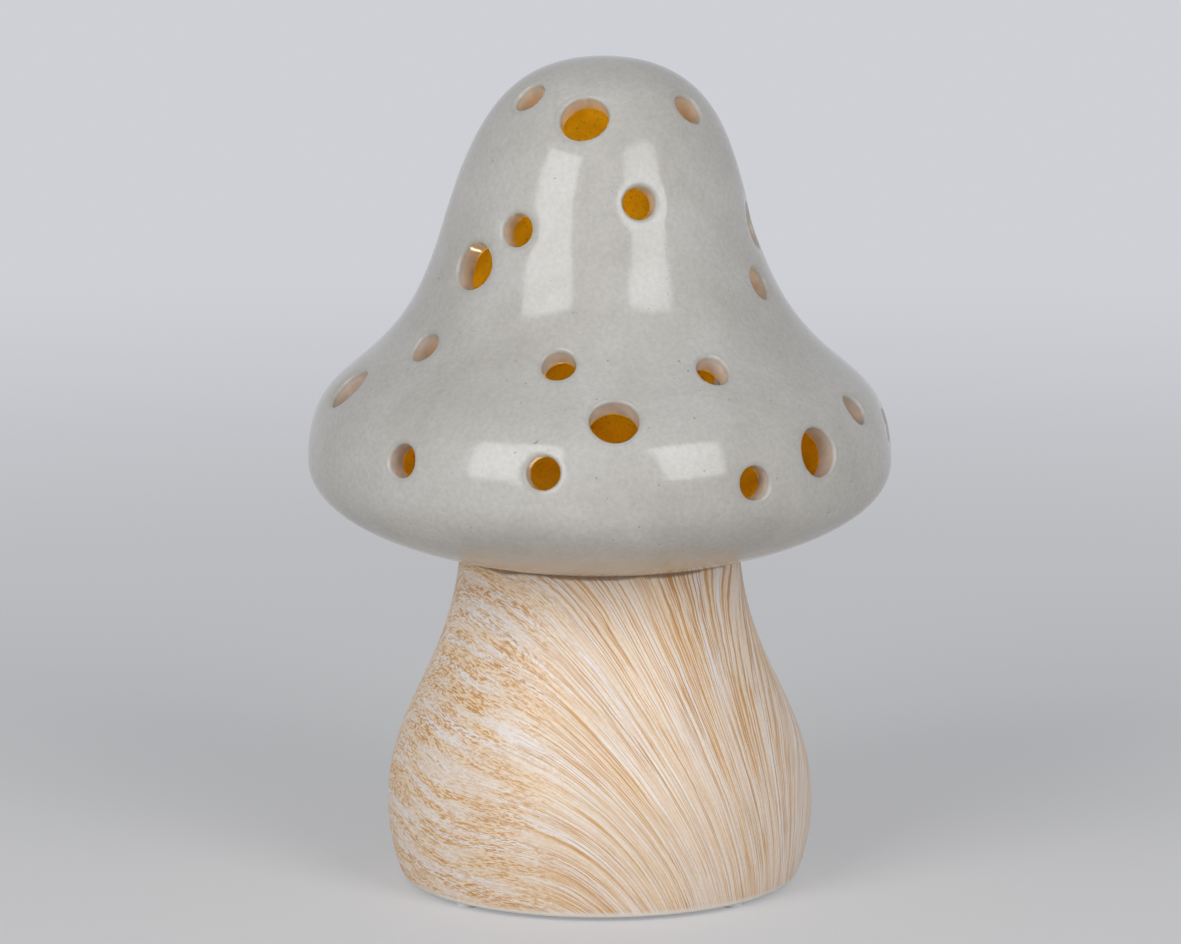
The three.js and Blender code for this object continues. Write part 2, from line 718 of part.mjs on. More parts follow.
// A conical spring of round wire along Y, one unbroken tube with its wide end at the contact plate
function makeSpring(name, side, facing) {
  const stepsPerTurn = 8;
  const rings = springTurns * stepsPerTurn;
  const tubeSides = 5;
  const wireRadius = springWire / 2;
  const centres = [];
  for (let i = 0; i <= rings; i += 1) {
    const t = i / rings;
    const angle = t * springTurns * 2 * Math.PI;
    const radius = THREE.MathUtils.lerp(springWideRadius, springNarrowRadius, t);
    const along = THREE.MathUtils.lerp(wireRadius, springLength - wireRadius, t);
    centres.push(new THREE.Vector3(radius * Math.cos(angle), along, radius * Math.sin(angle)));
  }
  const positions = [];
  centres.forEach((centre, i) => {
    const ahead = centres[Math.min(i + 1, rings)].clone().sub(centres[Math.max(i - 1, 0)]).normalize();
    const outward = new THREE.Vector3(centre.x, 0, centre.z).normalize();
    outward.addScaledVector(ahead, -outward.dot(ahead)).normalize();
    const across = new THREE.Vector3().crossVectors(ahead, outward);
    for (let k = 0; k < tubeSides; k += 1) {
      const angle = k * 2 * Math.PI / tubeSides;
      const point = centre.clone()
        .addScaledVector(outward, wireRadius * Math.cos(angle))
        .addScaledVector(across, wireRadius * Math.sin(angle));
      positions.push(point.x, point.y, point.z);
    }
  });
  const corners = [];
  for (let i = 0; i < rings; i += 1) {
    for (let k = 0; k < tubeSides; k += 1) {
      const a = i * tubeSides + k;
      const b = i * tubeSides + (k + 1) % tubeSides;
      corners.push(a, b, b + tubeSides, a, b + tubeSides, a + tubeSides);
    }
  }
  const last = rings * tubeSides;
  for (let k = 1; k < tubeSides - 1; k += 1) {
    corners.push(0, k + 1, k, last, last + k, last + k + 1);
  }
  const geometry = new THREE.BufferGeometry();
  geometry.setAttribute('position', new THREE.Float32BufferAttribute(positions, 3));
  geometry.setIndex(corners);
  geometry.computeVertexNormals();
  let leastGap = Infinity;
  centres.forEach((centre, i) => centres.slice(i + stepsPerTurn - 2).forEach((other) => {
    leastGap = Math.min(leastGap, centre.distanceTo(other) - springWire);
  }));
  console.log(`${name}: least gap between its turns ${leastGap.toFixed(2)} mm`);
  const mesh = new THREE.Mesh(geometry, steel);
  mesh.name = name;
  mesh.rotation.z = facing > 0 ? 0 : Math.PI;
  const plateFace = facing * (-bayHalfLength + contactThickness + seatGap);
  mesh.position.set(side * batterySpacing / 2, plateFace, batteryZ);
  return mesh;
}

function makeCircuitBoard() {
  const board = block(-boardWidth / 2, boardWidth / 2, -boardLength / 2, boardLength / 2, boardZ, boardTop);
  const holes = [-1, 1].map((side) => rod(
    boardHoleRadius, side * (boardWidth / 2 - boardHoleInset), -boardLength / 2 + boardHoleInset,
    boardZ - beyond, boardTop + beyond,
  ));
  return piece('circuit_board', cut(board, holes), boardGreen);
}

function makeTimerChip() {
  const y = -boardLength / 4;
  const bottom = boardTop + seatGap;
  return piece('timer_chip', block(-chipSize / 2, chipSize / 2, y - chipSize / 2, y + chipSize / 2, bottom,
    bottom + chipHeight), blackPlastic);
}

function makeResistor() {
  const radius = resistorDiameter / 2;
  const body = new THREE.CylinderGeometry(radius, radius, resistorLength, smallSides);
  const mesh = new THREE.Mesh(geometryOf(solidOf(body)), resistorTan);
  mesh.name = 'resistor';
  mesh.position.set(boardWidth / 4, boardLength / 8, boardTop + seatGap + radius);
  return mesh;
}

function makeLed() {
  const base = postTop + seatGap;
  const lensRadius = ledDiameter / 2;
  const shoulder = base + ledHeight - lensRadius;
  const dome = [0.25, 0.5, 0.75].map((share) => {
    const angle = share * Math.PI / 2;
    return [lensRadius * Math.cos(angle), shoulder + lensRadius * Math.sin(angle)];
  });
  const lens = turned([
    [0, base],
    [ledFlangeDiameter / 2, base],
    [ledFlangeDiameter / 2, base + ledFlangeHeight],
    [lensRadius, base + ledFlangeHeight],
    [lensRadius, shoulder],
    ...dome,
    [0, base + ledHeight],
  ], mediumSides);
  const legs = [-1, 1].map((side) => {
    const x = side * ledLegSpacing / 2;
    const half = ledLegWidth / 2;
    return block(x - half, x + half, -half, half, boardTop + seatGap, base + ledFlangeHeight / 2);
  });
  return piece('led', joined([lens, ...legs]), warmLens);
}

function makeDiffuser() {
  const base = postTop + seatGap;
  const outer = domeDiameter / 2;
  const inner = outer - domeWall;
  const spring = base + domeStraight;
  const arc = (radius) => [0.2, 0.4, 0.6, 0.8].map((share) => {
    const angle = share * Math.PI / 2;
    return [radius * Math.cos(angle), spring + radius * Math.sin(angle)];
  });
  return piece('diffuser', turned([
    [0, spring + inner],
    ...arc(inner).reverse(),
    [inner, spring],
    [inner, base],
    [outer, base],
    [outer, spring],
    ...arc(outer),
    [0, spring + outer],
  ], mediumSides), frosted);
}

const switchBottom = unitFloor + seatGap;

function makeSwitchBody() {
  const body = block(
    switchX - switchWidth / 2, switchX + switchWidth / 2, -switchLength / 2, switchLength / 2,
    switchBottom, switchBottom + switchHeight,
  );
  const track = knobTrack(switchBottom - beyond, switchBottom + knobDepth + seatGap);
  return piece('switch_body', cut(body, [track]), blackPlastic);
}

function makeSwitchKnob() {
  const knob = block(
    switchX - knobWidth / 2, switchX + knobWidth / 2, knobRest - knobLength / 2, knobRest + knobLength / 2,
    -knobProud, switchBottom + knobDepth,
  );
  const grips = [-1, 0, 1].map((row) => block(
    switchX - knobWidth, switchX + knobWidth, knobRest + row * knobGripSpacing - knobGripWidth / 2,
    knobRest + row * knobGripSpacing + knobGripWidth / 2, -knobProud - beyond, -knobProud + knobGripDepth,
  ));
  return piece('switch_knob', cut(knob, grips), blackPlastic);
}

// An insulated wire that rises from one place, passes over a crest and comes down on another
function makeWire(name, start, end, material) {
  const [from, to] = [new THREE.Vector3(...start), new THREE.Vector3(...end)];
  const crest = Math.max(from.z, to.z) + wireArch;
  const overStart = new THREE.Vector3(from.x, from.y, crest);
  const overEnd = new THREE.Vector3(to.x, to.y, crest);
  const route = new THREE.CubicBezierCurve3(from, overStart, overEnd, to);
  const section = new THREE.Shape();
  for (let k = 0; k < thinSides; k += 1) {
    const angle = k * 2 * Math.PI / thinSides;
    const point = [wireDiameter / 2 * Math.cos(angle), wireDiameter / 2 * Math.sin(angle)];
    if (k === 0) {
      section.moveTo(...point);
    } else {
      section.lineTo(...point);
    }
  }
  section.closePath();
  const sweep = { steps: wireSteps, extrudePath: route, bevelEnabled: false };
  const tube = new THREE.ExtrudeGeometry(section, sweep);
  const mesh = new THREE.Mesh(geometryOf(solidOf(tube)), material);
  mesh.name = name;
  return mesh;
}

function makeWires() {
  const wireBottom = boardTop + seatGap;
  const tabY = bayHalfLength - seatGap / 2 - contactThickness / 2;
  const padY = boardLength / 2 - boardPadInset;
  const switchTop = switchBottom + switchHeight + seatGap;
  const padX = boardWidth / 2 - boardPadInset;
  const side = batterySpacing / 2;
  const row = switchWireOffset;
  return [
    makeWire('wire_positive', [-side, tabY, wireBottom], [-side, padY, wireBottom], redWire),
    makeWire('wire_negative', [side, tabY, wireBottom], [side, padY, wireBottom], blackWire),
    makeWire('wire_switch_1', [switchX, -row, switchTop], [padX, -row, wireBottom], redWire),
    makeWire('wire_switch_2', [switchX, row, switchTop], [padX, row, wireBottom], blackWire),
  ];
}

// The whole light
const light = new THREE.Group();

const capGroup = new THREE.Group();
capGroup.position.z = collarZ;
capGroup.add(makeCap());
light.add(capGroup);

const stemGroup = new THREE.Group();
stemGroup.position.z = stemBase;
stemGroup.add(makeStem(), makeRetainingRing());
light.add(stemGroup);

for (let i = 0; i < padCount; i += 1) {
  light.add(makePad(i));
}

const unitGroup = new THREE.Group();
unitGroup.position.z = unitZ;
unitGroup.add(
  makeUnitBase(),
  makeUnitHousing(),
  makeLedPost(),
  ...makeHousingScrews(),
  makeBatteryDoor(),
  makeDoorScrew(),
  makeBattery('battery_1', -1, 1),
  makeBattery('battery_2', 1, -1),
  makeContactBridge(),
  makeEndContact('contact_positive', -1),
  makeEndContact('contact_negative', 1),
  makeSpring('battery_spring_1', -1, 1),
  makeSpring('battery_spring_2', 1, -1),
  makeCircuitBoard(),
  makeTimerChip(),
  makeResistor(),
  makeLed(),
  makeDiffuser(),
  makeSwitchBody(),
  makeSwitchKnob(),
  ...makeWires(),
);
light.add(unitGroup);

export default light;
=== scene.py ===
# %% [markdown]
# # A ceramic mushroom light, dressed for its picture
# The light is a glazed cap with round light holes, gold inside, that stands on a hollow stem with a
# printed wood grain. A small battery light unit sits in the stem's foot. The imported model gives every
# size and place here, so this script starts from it and only makes the surfaces finer and gives them
# their finishes.

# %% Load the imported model
import math

import bmesh
import bpy
import numpy as np
from mathutils import Matrix, Vector


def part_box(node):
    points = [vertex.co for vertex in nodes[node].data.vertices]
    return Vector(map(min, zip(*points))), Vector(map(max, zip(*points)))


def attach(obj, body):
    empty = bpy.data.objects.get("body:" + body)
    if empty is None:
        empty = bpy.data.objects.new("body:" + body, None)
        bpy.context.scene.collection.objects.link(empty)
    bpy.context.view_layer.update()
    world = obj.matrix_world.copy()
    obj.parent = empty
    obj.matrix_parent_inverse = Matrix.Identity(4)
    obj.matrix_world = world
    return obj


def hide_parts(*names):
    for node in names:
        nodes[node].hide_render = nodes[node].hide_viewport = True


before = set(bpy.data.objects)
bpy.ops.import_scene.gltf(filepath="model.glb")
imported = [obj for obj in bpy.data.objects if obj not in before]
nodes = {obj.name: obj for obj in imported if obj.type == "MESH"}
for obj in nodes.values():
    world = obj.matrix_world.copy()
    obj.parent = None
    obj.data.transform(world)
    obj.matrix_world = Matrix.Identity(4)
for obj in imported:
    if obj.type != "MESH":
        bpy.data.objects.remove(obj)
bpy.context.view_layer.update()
MM = 0.001

# %% [markdown]
# ## Camera
# The picture was taken from ten degrees above, from far away with a long lens, so that the light's sides
# look almost upright. A camera that stands 1.2 m in front and looks 10 degrees down gives the same
# outline.

# %% Camera
camera = bpy.data.objects.new("camera", bpy.data.cameras.new("camera"))
bpy.context.scene.collection.objects.link(camera)
camera.location = (-0.00203, -1.2, 0.3016)
camera.rotation_euler = (math.radians(90 - 10.02), 0, 0)
camera.data.sensor_width = 36
camera.data.lens = 171.06
camera.data.clip_end = 50
bpy.context.scene.camera = camera

# %% [markdown]
# ## Node trees in short form
# A finish and a Geometry Nodes tool are both trees of nodes. These helpers add a node, link or fill its
# inputs, and let what it puts out be added and multiplied like a number, so that a tree reads like a
# recipe.

# %% Node helpers
class Value:
    """What a node puts out."""
    def __init__(self, recipe, socket):
        self.recipe, self.socket = recipe, socket

    def __add__(self, other):
        return calculate("ADD", self, other)

    def __sub__(self, other):
        return calculate("SUBTRACT", self, other)

    def __rsub__(self, other):
        return calculate("SUBTRACT", other, self)

    def __mul__(self, other):
        return calculate("MULTIPLY", self, other)


def calculate(operation, *inputs):
    recipe = next(value.recipe for value in inputs if isinstance(value, Value))
    return recipe.node("ShaderNodeMath", dict(enumerate(inputs)), operation=operation)


def as_colour(value):
    """Red, green, blue and cover, from a colour or from one grey."""
    return (*(value if isinstance(value, tuple) else (value,) * 3), 1)[:4]


def feed(socket, value):
    if isinstance(value, Value):
        value.recipe.tree.links.new(value.socket, socket)
    else:
        socket.default_value = as_colour(value) if socket.type == "RGBA" else value


class Recipe:
    """A node tree."""
    def __init__(self, tree):
        self.tree = tree

    def node(self, kind, inputs=None, out=0, **settings):
        made = self.tree.nodes.new(kind)
        for name, value in settings.items():
            setattr(made, name, value)
        for name, value in (inputs or {}).items():
            feed(made.inputs[name], value)
        return Value(self, made.outputs[out])

    def axis(self, vector, name):
        return self.node("ShaderNodeSeparateXYZ", {0: vector}, name)

    def fade(self, value, low, high, top=1.0, kind="LINEAR"):
        """0 up to the low value, rising to the top at the high value."""
        inputs = {"Value": value, "From Min": low, "From Max": high, "To Max": top}
        return self.node("ShaderNodeMapRange", inputs, interpolation_type=kind)

    def ramp(self, factor, *stops, kind="LINEAR"):
        made = self.tree.nodes.new("ShaderNodeValToRGB")
        feed(made.inputs[0], factor)
        made.color_ramp.interpolation = kind
        elements = made.color_ramp.elements
        while len(elements) < len(stops):
            elements.new(0.5)
        for element, (place, colour) in zip(elements, stops):
            element.position = place
            element.color = as_colour(colour)
        return Value(self, made.outputs[0])

    def mix(self, factor, a, b, blend="MIX"):
        inputs = {0: factor, 6: a, 7: b}
        return self.node("ShaderNodeMix", inputs, 2, data_type="RGBA", blend_type=blend, clamp_factor=True)


class Finish(Recipe):
    """A material, with the place of each point on its piece."""
    def __init__(self, name):
        self.material = bpy.data.materials.new(name + "_finish")
        self.material.use_nodes = True
        super().__init__(self.material.node_tree)
        self.surface = self.tree.nodes["Principled BSDF"]
        self.place = self.node("ShaderNodeTexCoord", out="Object")

    def stored(self, name):
        return self.node("ShaderNodeAttribute", out="Fac", attribute_name=name)

    def noise(self, scale, detail=2.0, roughness=0.5, distortion=0.0, place=None, w=None):
        inputs = {"Vector": place or self.place, "Scale": scale, "Detail": detail, "Roughness": roughness,
                  "Distortion": distortion, **({"W": w} if w else {})}
        return self.node("ShaderNodeTexNoise", inputs, noise_dimensions="4D" if w else "3D")

    def mottle(self, scale, detail, low, high, start=0.3, stop=0.7, roughness=0.5):
        """Noise between two tones or two greys."""
        return self.ramp(self.noise(scale, detail, roughness), (start, low), (stop, high))

    def wear(self, colour, roughness, relief=None, distance=0.0, strength=1.0, **others):
        """Gives the surface its colour, roughness, small relief and other inputs."""
        for name, value in {"Base_Color": colour, "Roughness": roughness, **others}.items():
            feed(self.surface.inputs[name.replace("_", " ")], value)
        if relief:
            inputs = {"Height": relief, "Distance": distance, "Strength": strength}
            feed(self.surface.inputs["Normal"], self.node("ShaderNodeBump", inputs))


# %% [markdown]
# ## From a mesh to a piece
# Every finished shell is measured: one with open edges, or with its faces turned inside out, would show a
# wrong count or a negative volume here. Then it takes the place of its model nodes.

# %% Piece helpers
def shown(name, mesh):
    made = bpy.data.objects.new(name, mesh)
    bpy.context.scene.collection.objects.link(made)
    return made


def mesh_object(name, points, edges=(), faces=()):
    mesh = bpy.data.meshes.new(name)
    mesh.from_pydata(points, edges, faces)
    return shown(name, mesh)


def store(made, **numbers):
    """Stores one number per point under each name."""
    for name, values in numbers.items():
        layer = made.data.attributes.new(name, "FLOAT", "POINT")
        layer.data.foreach_set("value", np.asarray(values, np.float32))


def points_of(made):
    return np.array([point.co for point in made.data.vertices]) / MM


def size_of(node):
    """Lowest and highest corner of a model node, in millimetres."""
    return tuple(np.array(corner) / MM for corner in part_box(node))


def dress(made, slot, body, *replaced):
    shell = bmesh.new()
    shell.from_mesh(made.data)
    open_edges = sum(not edge.is_manifold for edge in shell.edges)
    triangles = sum(len(face.verts) - 2 for face in shell.faces)
    print(f"{made.name}: {triangles} triangles, {open_edges} open edges, {shell.calc_volume() * 1e9:.1f} mm3")
    shell.free()
    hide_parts(*replaced)
    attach(made, body)


# %% [markdown]
# ## Floor and light
# The floor is plain and pale, large enough to fill the picture behind the light. Two tall softboxes stand
# to the left and right of the camera: on a gloss glaze they show as two upright bright strips on the
# crown and two patches on the bulge. A pale sky all round gives the even light between them.

# %% Floor
BACKDROP = (0.62, 0.63, 0.67)


def seen_directly(recipe):
    """1 where the camera, a reflection or a clear body looks, 0 where light is gathered."""
    kinds = ("Camera", "Transmission", "Glossy")
    direct, through, mirrored = (recipe.node("ShaderNodeLightPath", out=f"Is {kind} Ray") for kind in kinds)
    return calculate("MAXIMUM", calculate("MAXIMUM", direct, through), mirrored)


floor = mesh_object("floor", [(-8, -8, 0), (8, -8, 0), (8, 8, 0), (-8, 8, 0)], faces=[(0, 1, 2, 3)])
paper = Finish("floor_paper")
paper.wear(paper.mottle(3.0, 4.0, (0.74, 0.73, 0.715), (0.76, 0.75, 0.735)), 0.9, Specular_IOR_Level=0.1)
distance = paper.node("ShaderNodeVectorMath", {0: paper.place}, "Value", operation="LENGTH")
far = paper.ramp(distance * 0.5, (0.05, 0.4), (0.5, 1), kind="EASE") * seen_directly(paper)
pale = paper.node("ShaderNodeEmission", {"Color": BACKDROP})
shading = Value(paper, paper.surface.outputs[0])
feed(paper.tree.nodes["Material Output"].inputs["Surface"],
     paper.node("ShaderNodeMixShader", {0: far, 1: shading, 2: pale}))
floor.data.materials.append(paper.material)

# %% Sky and softboxes
sky = bpy.data.worlds.new("sky")
bpy.context.scene.world = sky
sky.use_nodes = True
recipe = Recipe(sky.node_tree)
lighting = sky.node_tree.nodes["Background"]
feed(lighting.inputs["Color"], (0.94, 0.97, 1.0))
feed(lighting.inputs["Strength"], 0.22)
backdrop = recipe.node("ShaderNodeBackground", {"Color": BACKDROP, "Strength": 1.0})
both = {0: seen_directly(recipe), 1: Value(recipe, lighting.outputs[0]), 2: backdrop}
feed(sky.node_tree.nodes["World Output"].inputs["Surface"], recipe.node("ShaderNodeMixShader", both))


def softbox(name, azimuth, width, watts, elevation=24.3, distance=1.6, height=1.07):
    lamp = bpy.data.lights.new(name, "AREA")
    lamp.shape = "RECTANGLE"
    lamp.size, lamp.size_y, lamp.energy = width, height, watts
    a, e = math.radians(azimuth), math.radians(elevation)
    away = Vector((math.sin(a) * math.cos(e), -math.cos(a) * math.cos(e), math.sin(e)))
    stand = shown(name, lamp)
    stand.location = Vector((0, 0, 0.13)) + distance * away
    stand.rotation_euler = away.to_track_quat("Z", "Y").to_euler()


softbox("softbox_left", -38, 0.85, 13.5)
softbox("softbox_right", 37.5, 0.72, 11.4)
bpy.context.scene.view_settings.view_transform = "Standard"

# %% [markdown]
# ## Outlines
# Cap and stem are turned shapes, so each is one outline swept round the axis. The outlines are the
# model's own: smooth bends between a few measured places, written here in millimetres from the model's
# source.

# %% Outlines of cap and stem
def bend(start, start_handle, end_handle, end, steps=120):
    t = np.linspace(0, 1, steps + 1)[:, None]
    a, b, c, d = (np.array(p, float) for p in (start, start_handle, end_handle, end))
    return (1 - t) ** 3 * a + 3 * (1 - t) ** 2 * t * b + 3 * (1 - t) * t ** 2 * c + t ** 3 * d


def corner(start, middle, end, t):
    """A point of the curve that rounds a corner."""
    return (1 - t) ** 2 * start + 2 * (1 - t) * t * middle + t ** 2 * end


def lean(degrees, reach):
    return np.array([math.sin(math.radians(degrees)), math.cos(math.radians(degrees))]) * reach


def bell_outline(steps=120):
    """From the cap's rim over the waist to the crown."""
    flare = bend(rim, (63.1, 46.0), waist + lean(15.3, 39.7) * (1, -1), waist, steps)
    dome = bend(waist, waist + lean(15.3, 19.7) * (-1, 1), (22.5, 107.4), (0, 107.4), steps)
    return np.vstack([flare, dome[1:]])


STEM_FOOT, COLLAR, CAP_TOP = 1.0, 72.6, 180
rim, waist = np.array([63.1, 20.1]), np.array([33.1, 72.8])
collar_edge = np.array([31.7, 0.0])
cap_underside = bend(collar_edge, collar_edge + lean(90 - 12.6, 19.6), (63.1, 11.0), rim)
cap_outline = np.vstack([cap_underside, bell_outline()[1:]]) + (0, COLLAR)
foot_edge, belly, neck = np.array([43.5, 0.8]), (46.4, 16.1), np.array([30.4, 71.3])
stem_outline = np.vstack([
    bend(foot_edge, foot_edge + lean(25, 4.6), (46.4, 12.1), belly),
    bend(belly, (46.4, 37.5), neck + lean(4.7, 25.9) * (1, -1), neck)[1:],
]) + (0, STEM_FOOT)


def inset(outline, wall):
    ahead = np.gradient(outline, axis=0)
    ahead /= np.linalg.norm(ahead, axis=1)[:, None]
    return outline - wall * np.stack([ahead[:, 1], -ahead[:, 0]], axis=1)


def lengths_along(outline):
    return np.concatenate([[0], np.cumsum(np.linalg.norm(np.diff(outline, axis=0), axis=1))])


def respaced(outline, spacing):
    length = lengths_along(outline)
    marks = np.linspace(0, length[-1], max(2, round(length[-1] / spacing) + 1))
    return np.stack([np.interp(marks, length, outline[:, k]) for k in (0, 1)], axis=1)


CAP_WALL, CAP_FLOOR = 5.0, 77.1
lining = inset(cap_outline, CAP_WALL)
above_floor = (lining[:, 1] > CAP_FLOOR + 0.4) & ((lining[:, 0] > 32) | (lining[:, 1] > 100))
lining = lining[above_floor & (lining[:, 0] > 0.5)]
cap_lining = np.vstack([[(31.7, CAP_FLOOR)], lining, [(0, CAP_TOP - CAP_WALL)]])
print("cap outline", len(cap_outline), "points; lining from", cap_lining[0].round(1),
      "to", cap_lining[-1].round(1))

# %% [markdown]
# ## Cap: a pierced shell with soft hole edges
# The real cap is cast in one wall of about 5 mm, and the round holes are cut before firing. The glaze
# then rounds their edges and pools a little round them, and those small rounded edges catch the light, so
# they matter more than anything else on it. A boolean cut leaves hard, broken edges on a fine mesh. So
# the skin is laid as a grid of rings here, the cells round each hole are left out, and rings of their own
# run from the skin over the rounded edge, down the bore and out onto the lining.

# %% Where the light holes are
# Each has an azimuth in degrees from the front, and a share of the way from the crown down to the rim.
large_holes = [
    (-10, 0.23), (-49, 0.525), (85, 0.47), (-74, 0.825), (3, 0.83), (48, 0.925),
    (142, 0.25), (176, 0.5), (112, 0.86), (-136, 0.9), (-158, 0.6),
]
small_holes = [
    (-52, 0.19), (55, 0.22), (16, 0.395), (-32, 0.45), (67, 0.57), (-56, 0.695), (-11, 0.705), (30, 0.725),
    (67, 0.865), (-42, 0.935), (-11, 0.935), (31, 0.965),
    (-128, 0.24), (-98, 0.41), (132, 0.44), (-128, 0.47), (158, 0.7), (118, 0.66), (-112, 0.74), (-170, 0.8),
    (150, 0.93), (-104, 0.93), (86, 0.93), (-168, 0.955),
]
bell = bell_outline(40)[::-1] + (0, COLLAR)
bell_length = lengths_along(bell)


def on_azimuth(radius, height, azimuth):
    """A point at a radius and height, with the azimuth in degrees from the front towards +X."""
    a = np.radians(azimuth)
    return np.stack(np.broadcast_arrays(radius * np.sin(a), -radius * np.cos(a), height), axis=-1)


def hole_place(azimuth, share):
    """Centre, axis, side and rise of a hole."""
    goal = share * bell_length[-1]
    i = int(np.searchsorted(bell_length, goal))
    along = bell[i] - bell[i - 1]
    radius, height = bell[i - 1] + (goal - bell_length[i - 1]) / (bell_length[i] - bell_length[i - 1]) * along
    out = np.array([-along[1], along[0]]) / np.linalg.norm(along)
    centre, axis = on_azimuth(radius, height, azimuth), on_azimuth(out[0], out[1], azimuth)
    side = np.cross((0, 0, 1), axis)
    side /= np.linalg.norm(side)
    return {"centre": centre, "axis": axis, "side": side, "rise": np.cross(axis, side)}


random = np.random.default_rng(11)
holes = []
for radius, segments, places in ((5.15, 48, large_holes), (3.55, 40, small_holes)):
    for azimuth, share in places:
        holes.append({"radius": radius, "segments": segments, "oval": random.uniform(0.004, 0.014, 2),
                      "turn": random.uniform(0, 2 * math.pi, 2), **hole_place(azimuth, share)})
print(len(holes), "light holes")

# %% Sheets of rings
vertices, faces, depth, bare = [], [], [], []


def add_points(points, how_deep, is_bare=0.0):
    first = len(vertices)
    vertices.extend(np.asarray(points, float))
    depth.extend([how_deep] * len(points))
    bare.extend([is_bare] * len(points))
    return np.arange(first, len(vertices))


def ring_angles(count):
    return np.arange(count) * 2 * math.pi / count


def turned_away(triangle, facing):
    a, b, c = (vertices[k] for k in triangle)
    normal = np.cross(b - a, c - a)
    return normal @ facing < 0.3 * np.linalg.norm(normal)


def zip_rings(upper, upper_angles, lower, lower_angles, facing=None):
    """Joins two rings of different counts by triangles, each with its angles in rising order. The angles
    choose which ring steps on, unless that would fold a triangle over. Returns how many triangles face the
    wrong way."""
    start = int(np.searchsorted(lower_angles, upper_angles[0], side="right")) - 1
    count_up, count_low = len(upper), len(lower)
    low = [((start + k) % count_low, (start + k) // count_low) for k in range(count_low + 1)]
    low_turns = [lower_angles[i] + 2 * math.pi * turns for i, turns in low]
    up_turns = list(upper_angles) + [upper_angles[0] + 2 * math.pi]
    i = j = wrong = 0
    while i < count_up or j < count_low:
        spoke = (upper[i % count_up], lower[low[j][0]])
        step_up = (*spoke, upper[(i + 1) % count_up])
        step_low = (*spoke, lower[low[min(j + 1, count_low)][0]])
        upper_first = j == count_low or (i < count_up and up_turns[i + 1] <= low_turns[j + 1])
        if facing is not None and i < count_up and j < count_low:
            folds = turned_away(step_up if upper_first else step_low, facing)
            if folds and not turned_away(step_low if upper_first else step_up, facing):
                upper_first = not upper_first
        triangle = step_up if upper_first else step_low
        wrong += facing is not None and bool(turned_away(triangle, facing))
        faces.append(triangle)
        i += upper_first
        j += not upper_first
    return wrong


def strip(upper, lower):
    """Joins two rings of the same count by quads. Seen from outside, the first one lies above."""
    faces.extend(zip(upper, lower, np.roll(lower, -1), np.roll(upper, -1)))


def columns_at(radius, most):
    """How many columns a ring has: fewer towards the pole."""
    return most // next(share for limit, share in ((12.5, 1), (6, 2), (3, 4), (0, 8)) if radius > limit)


def hole_reach(points, hole):
    """Distance of each point from the hole's axis, and whether it lies on the hole's side of the cap."""
    away = points - hole["centre"]
    along = away @ hole["axis"]
    return np.linalg.norm(away - along[:, None] * hole["axis"], axis=1), np.abs(along) < 9


def lay_skin(outline, most, how_deep, margin):
    """Lays rings along an outline that runs from a pole, and leaves out the cells round each hole.
    Returns the first and last ring and, for each hole, the loop of points round its gap."""
    rings = []
    for radius, height in outline:
        azimuths = np.degrees(ring_angles(columns_at(radius, most)))
        rings.append(add_points(on_azimuth(radius, height, azimuths), how_deep))
    points = np.array(vertices)
    gaps = [[] for _ in holes]
    near = []
    for hole in holes:
        reach, this_side = hole_reach(points, hole)
        near.append((reach < hole["radius"] + margin) & this_side)
    near = np.array(near)
    for upper, lower in zip(rings[:-1], rings[1:]):
        if len(upper) != len(lower):
            zip_rings(upper, ring_angles(len(upper)), lower, ring_angles(len(lower)))
            continue
        cells = np.stack([upper, lower, np.roll(lower, -1), np.roll(upper, -1)], axis=1)
        taken = near[:, cells].any(axis=2)
        assert taken.sum(axis=0).max() < 2, "two holes' gaps overlap"
        for cell, owners in zip(cells, taken.T):
            (gaps[int(owners.argmax())] if owners.any() else faces).append(tuple(cell))
    loops = []
    for hole, gap in zip(holes, gaps):
        edges = {edge for cell in gap for edge in zip(cell, cell[1:] + cell[:1])}
        loop = np.array([a for a, b in edges if (b, a) not in edges])
        away = points[loop] - hole["centre"]
        angles = np.arctan2(away @ hole["rise"], away @ hole["side"]) % (2 * math.pi)
        order = np.argsort(angles)
        loops.append((loop[order], angles[order]))
    return rings[0], rings[-1], loops


# %% From the skin over the edge and down the bore
EDGE, LINING_EDGE = 0.8, 0.3


def dip(beyond_edge):
    """How far the glaze sinks round a hole."""
    return 0.22 * np.exp(-(beyond_edge / 1.5) ** 2)


def on_surface(hole, reach, outline, low, high):
    """Points of a turned surface at a distance from the hole's axis, found along that axis by halving."""
    angles = ring_angles(hole["segments"])[:, None]
    base = hole["centre"] + reach[:, None] * (np.cos(angles) * hole["side"] + np.sin(angles) * hole["rise"])
    low, high = np.full(len(base), float(low)), np.full(len(base), float(high))
    for _ in range(30):
        middle = (low + high) / 2
        points = base + middle[:, None] * hole["axis"]
        inside = np.interp(points[:, 2], outline[:, 1], outline[:, 0]) > np.hypot(points[:, 0], points[:, 1])
        low, high = np.where(inside, middle, low), np.where(inside, high, middle)
    return base + low[:, None] * hole["axis"]


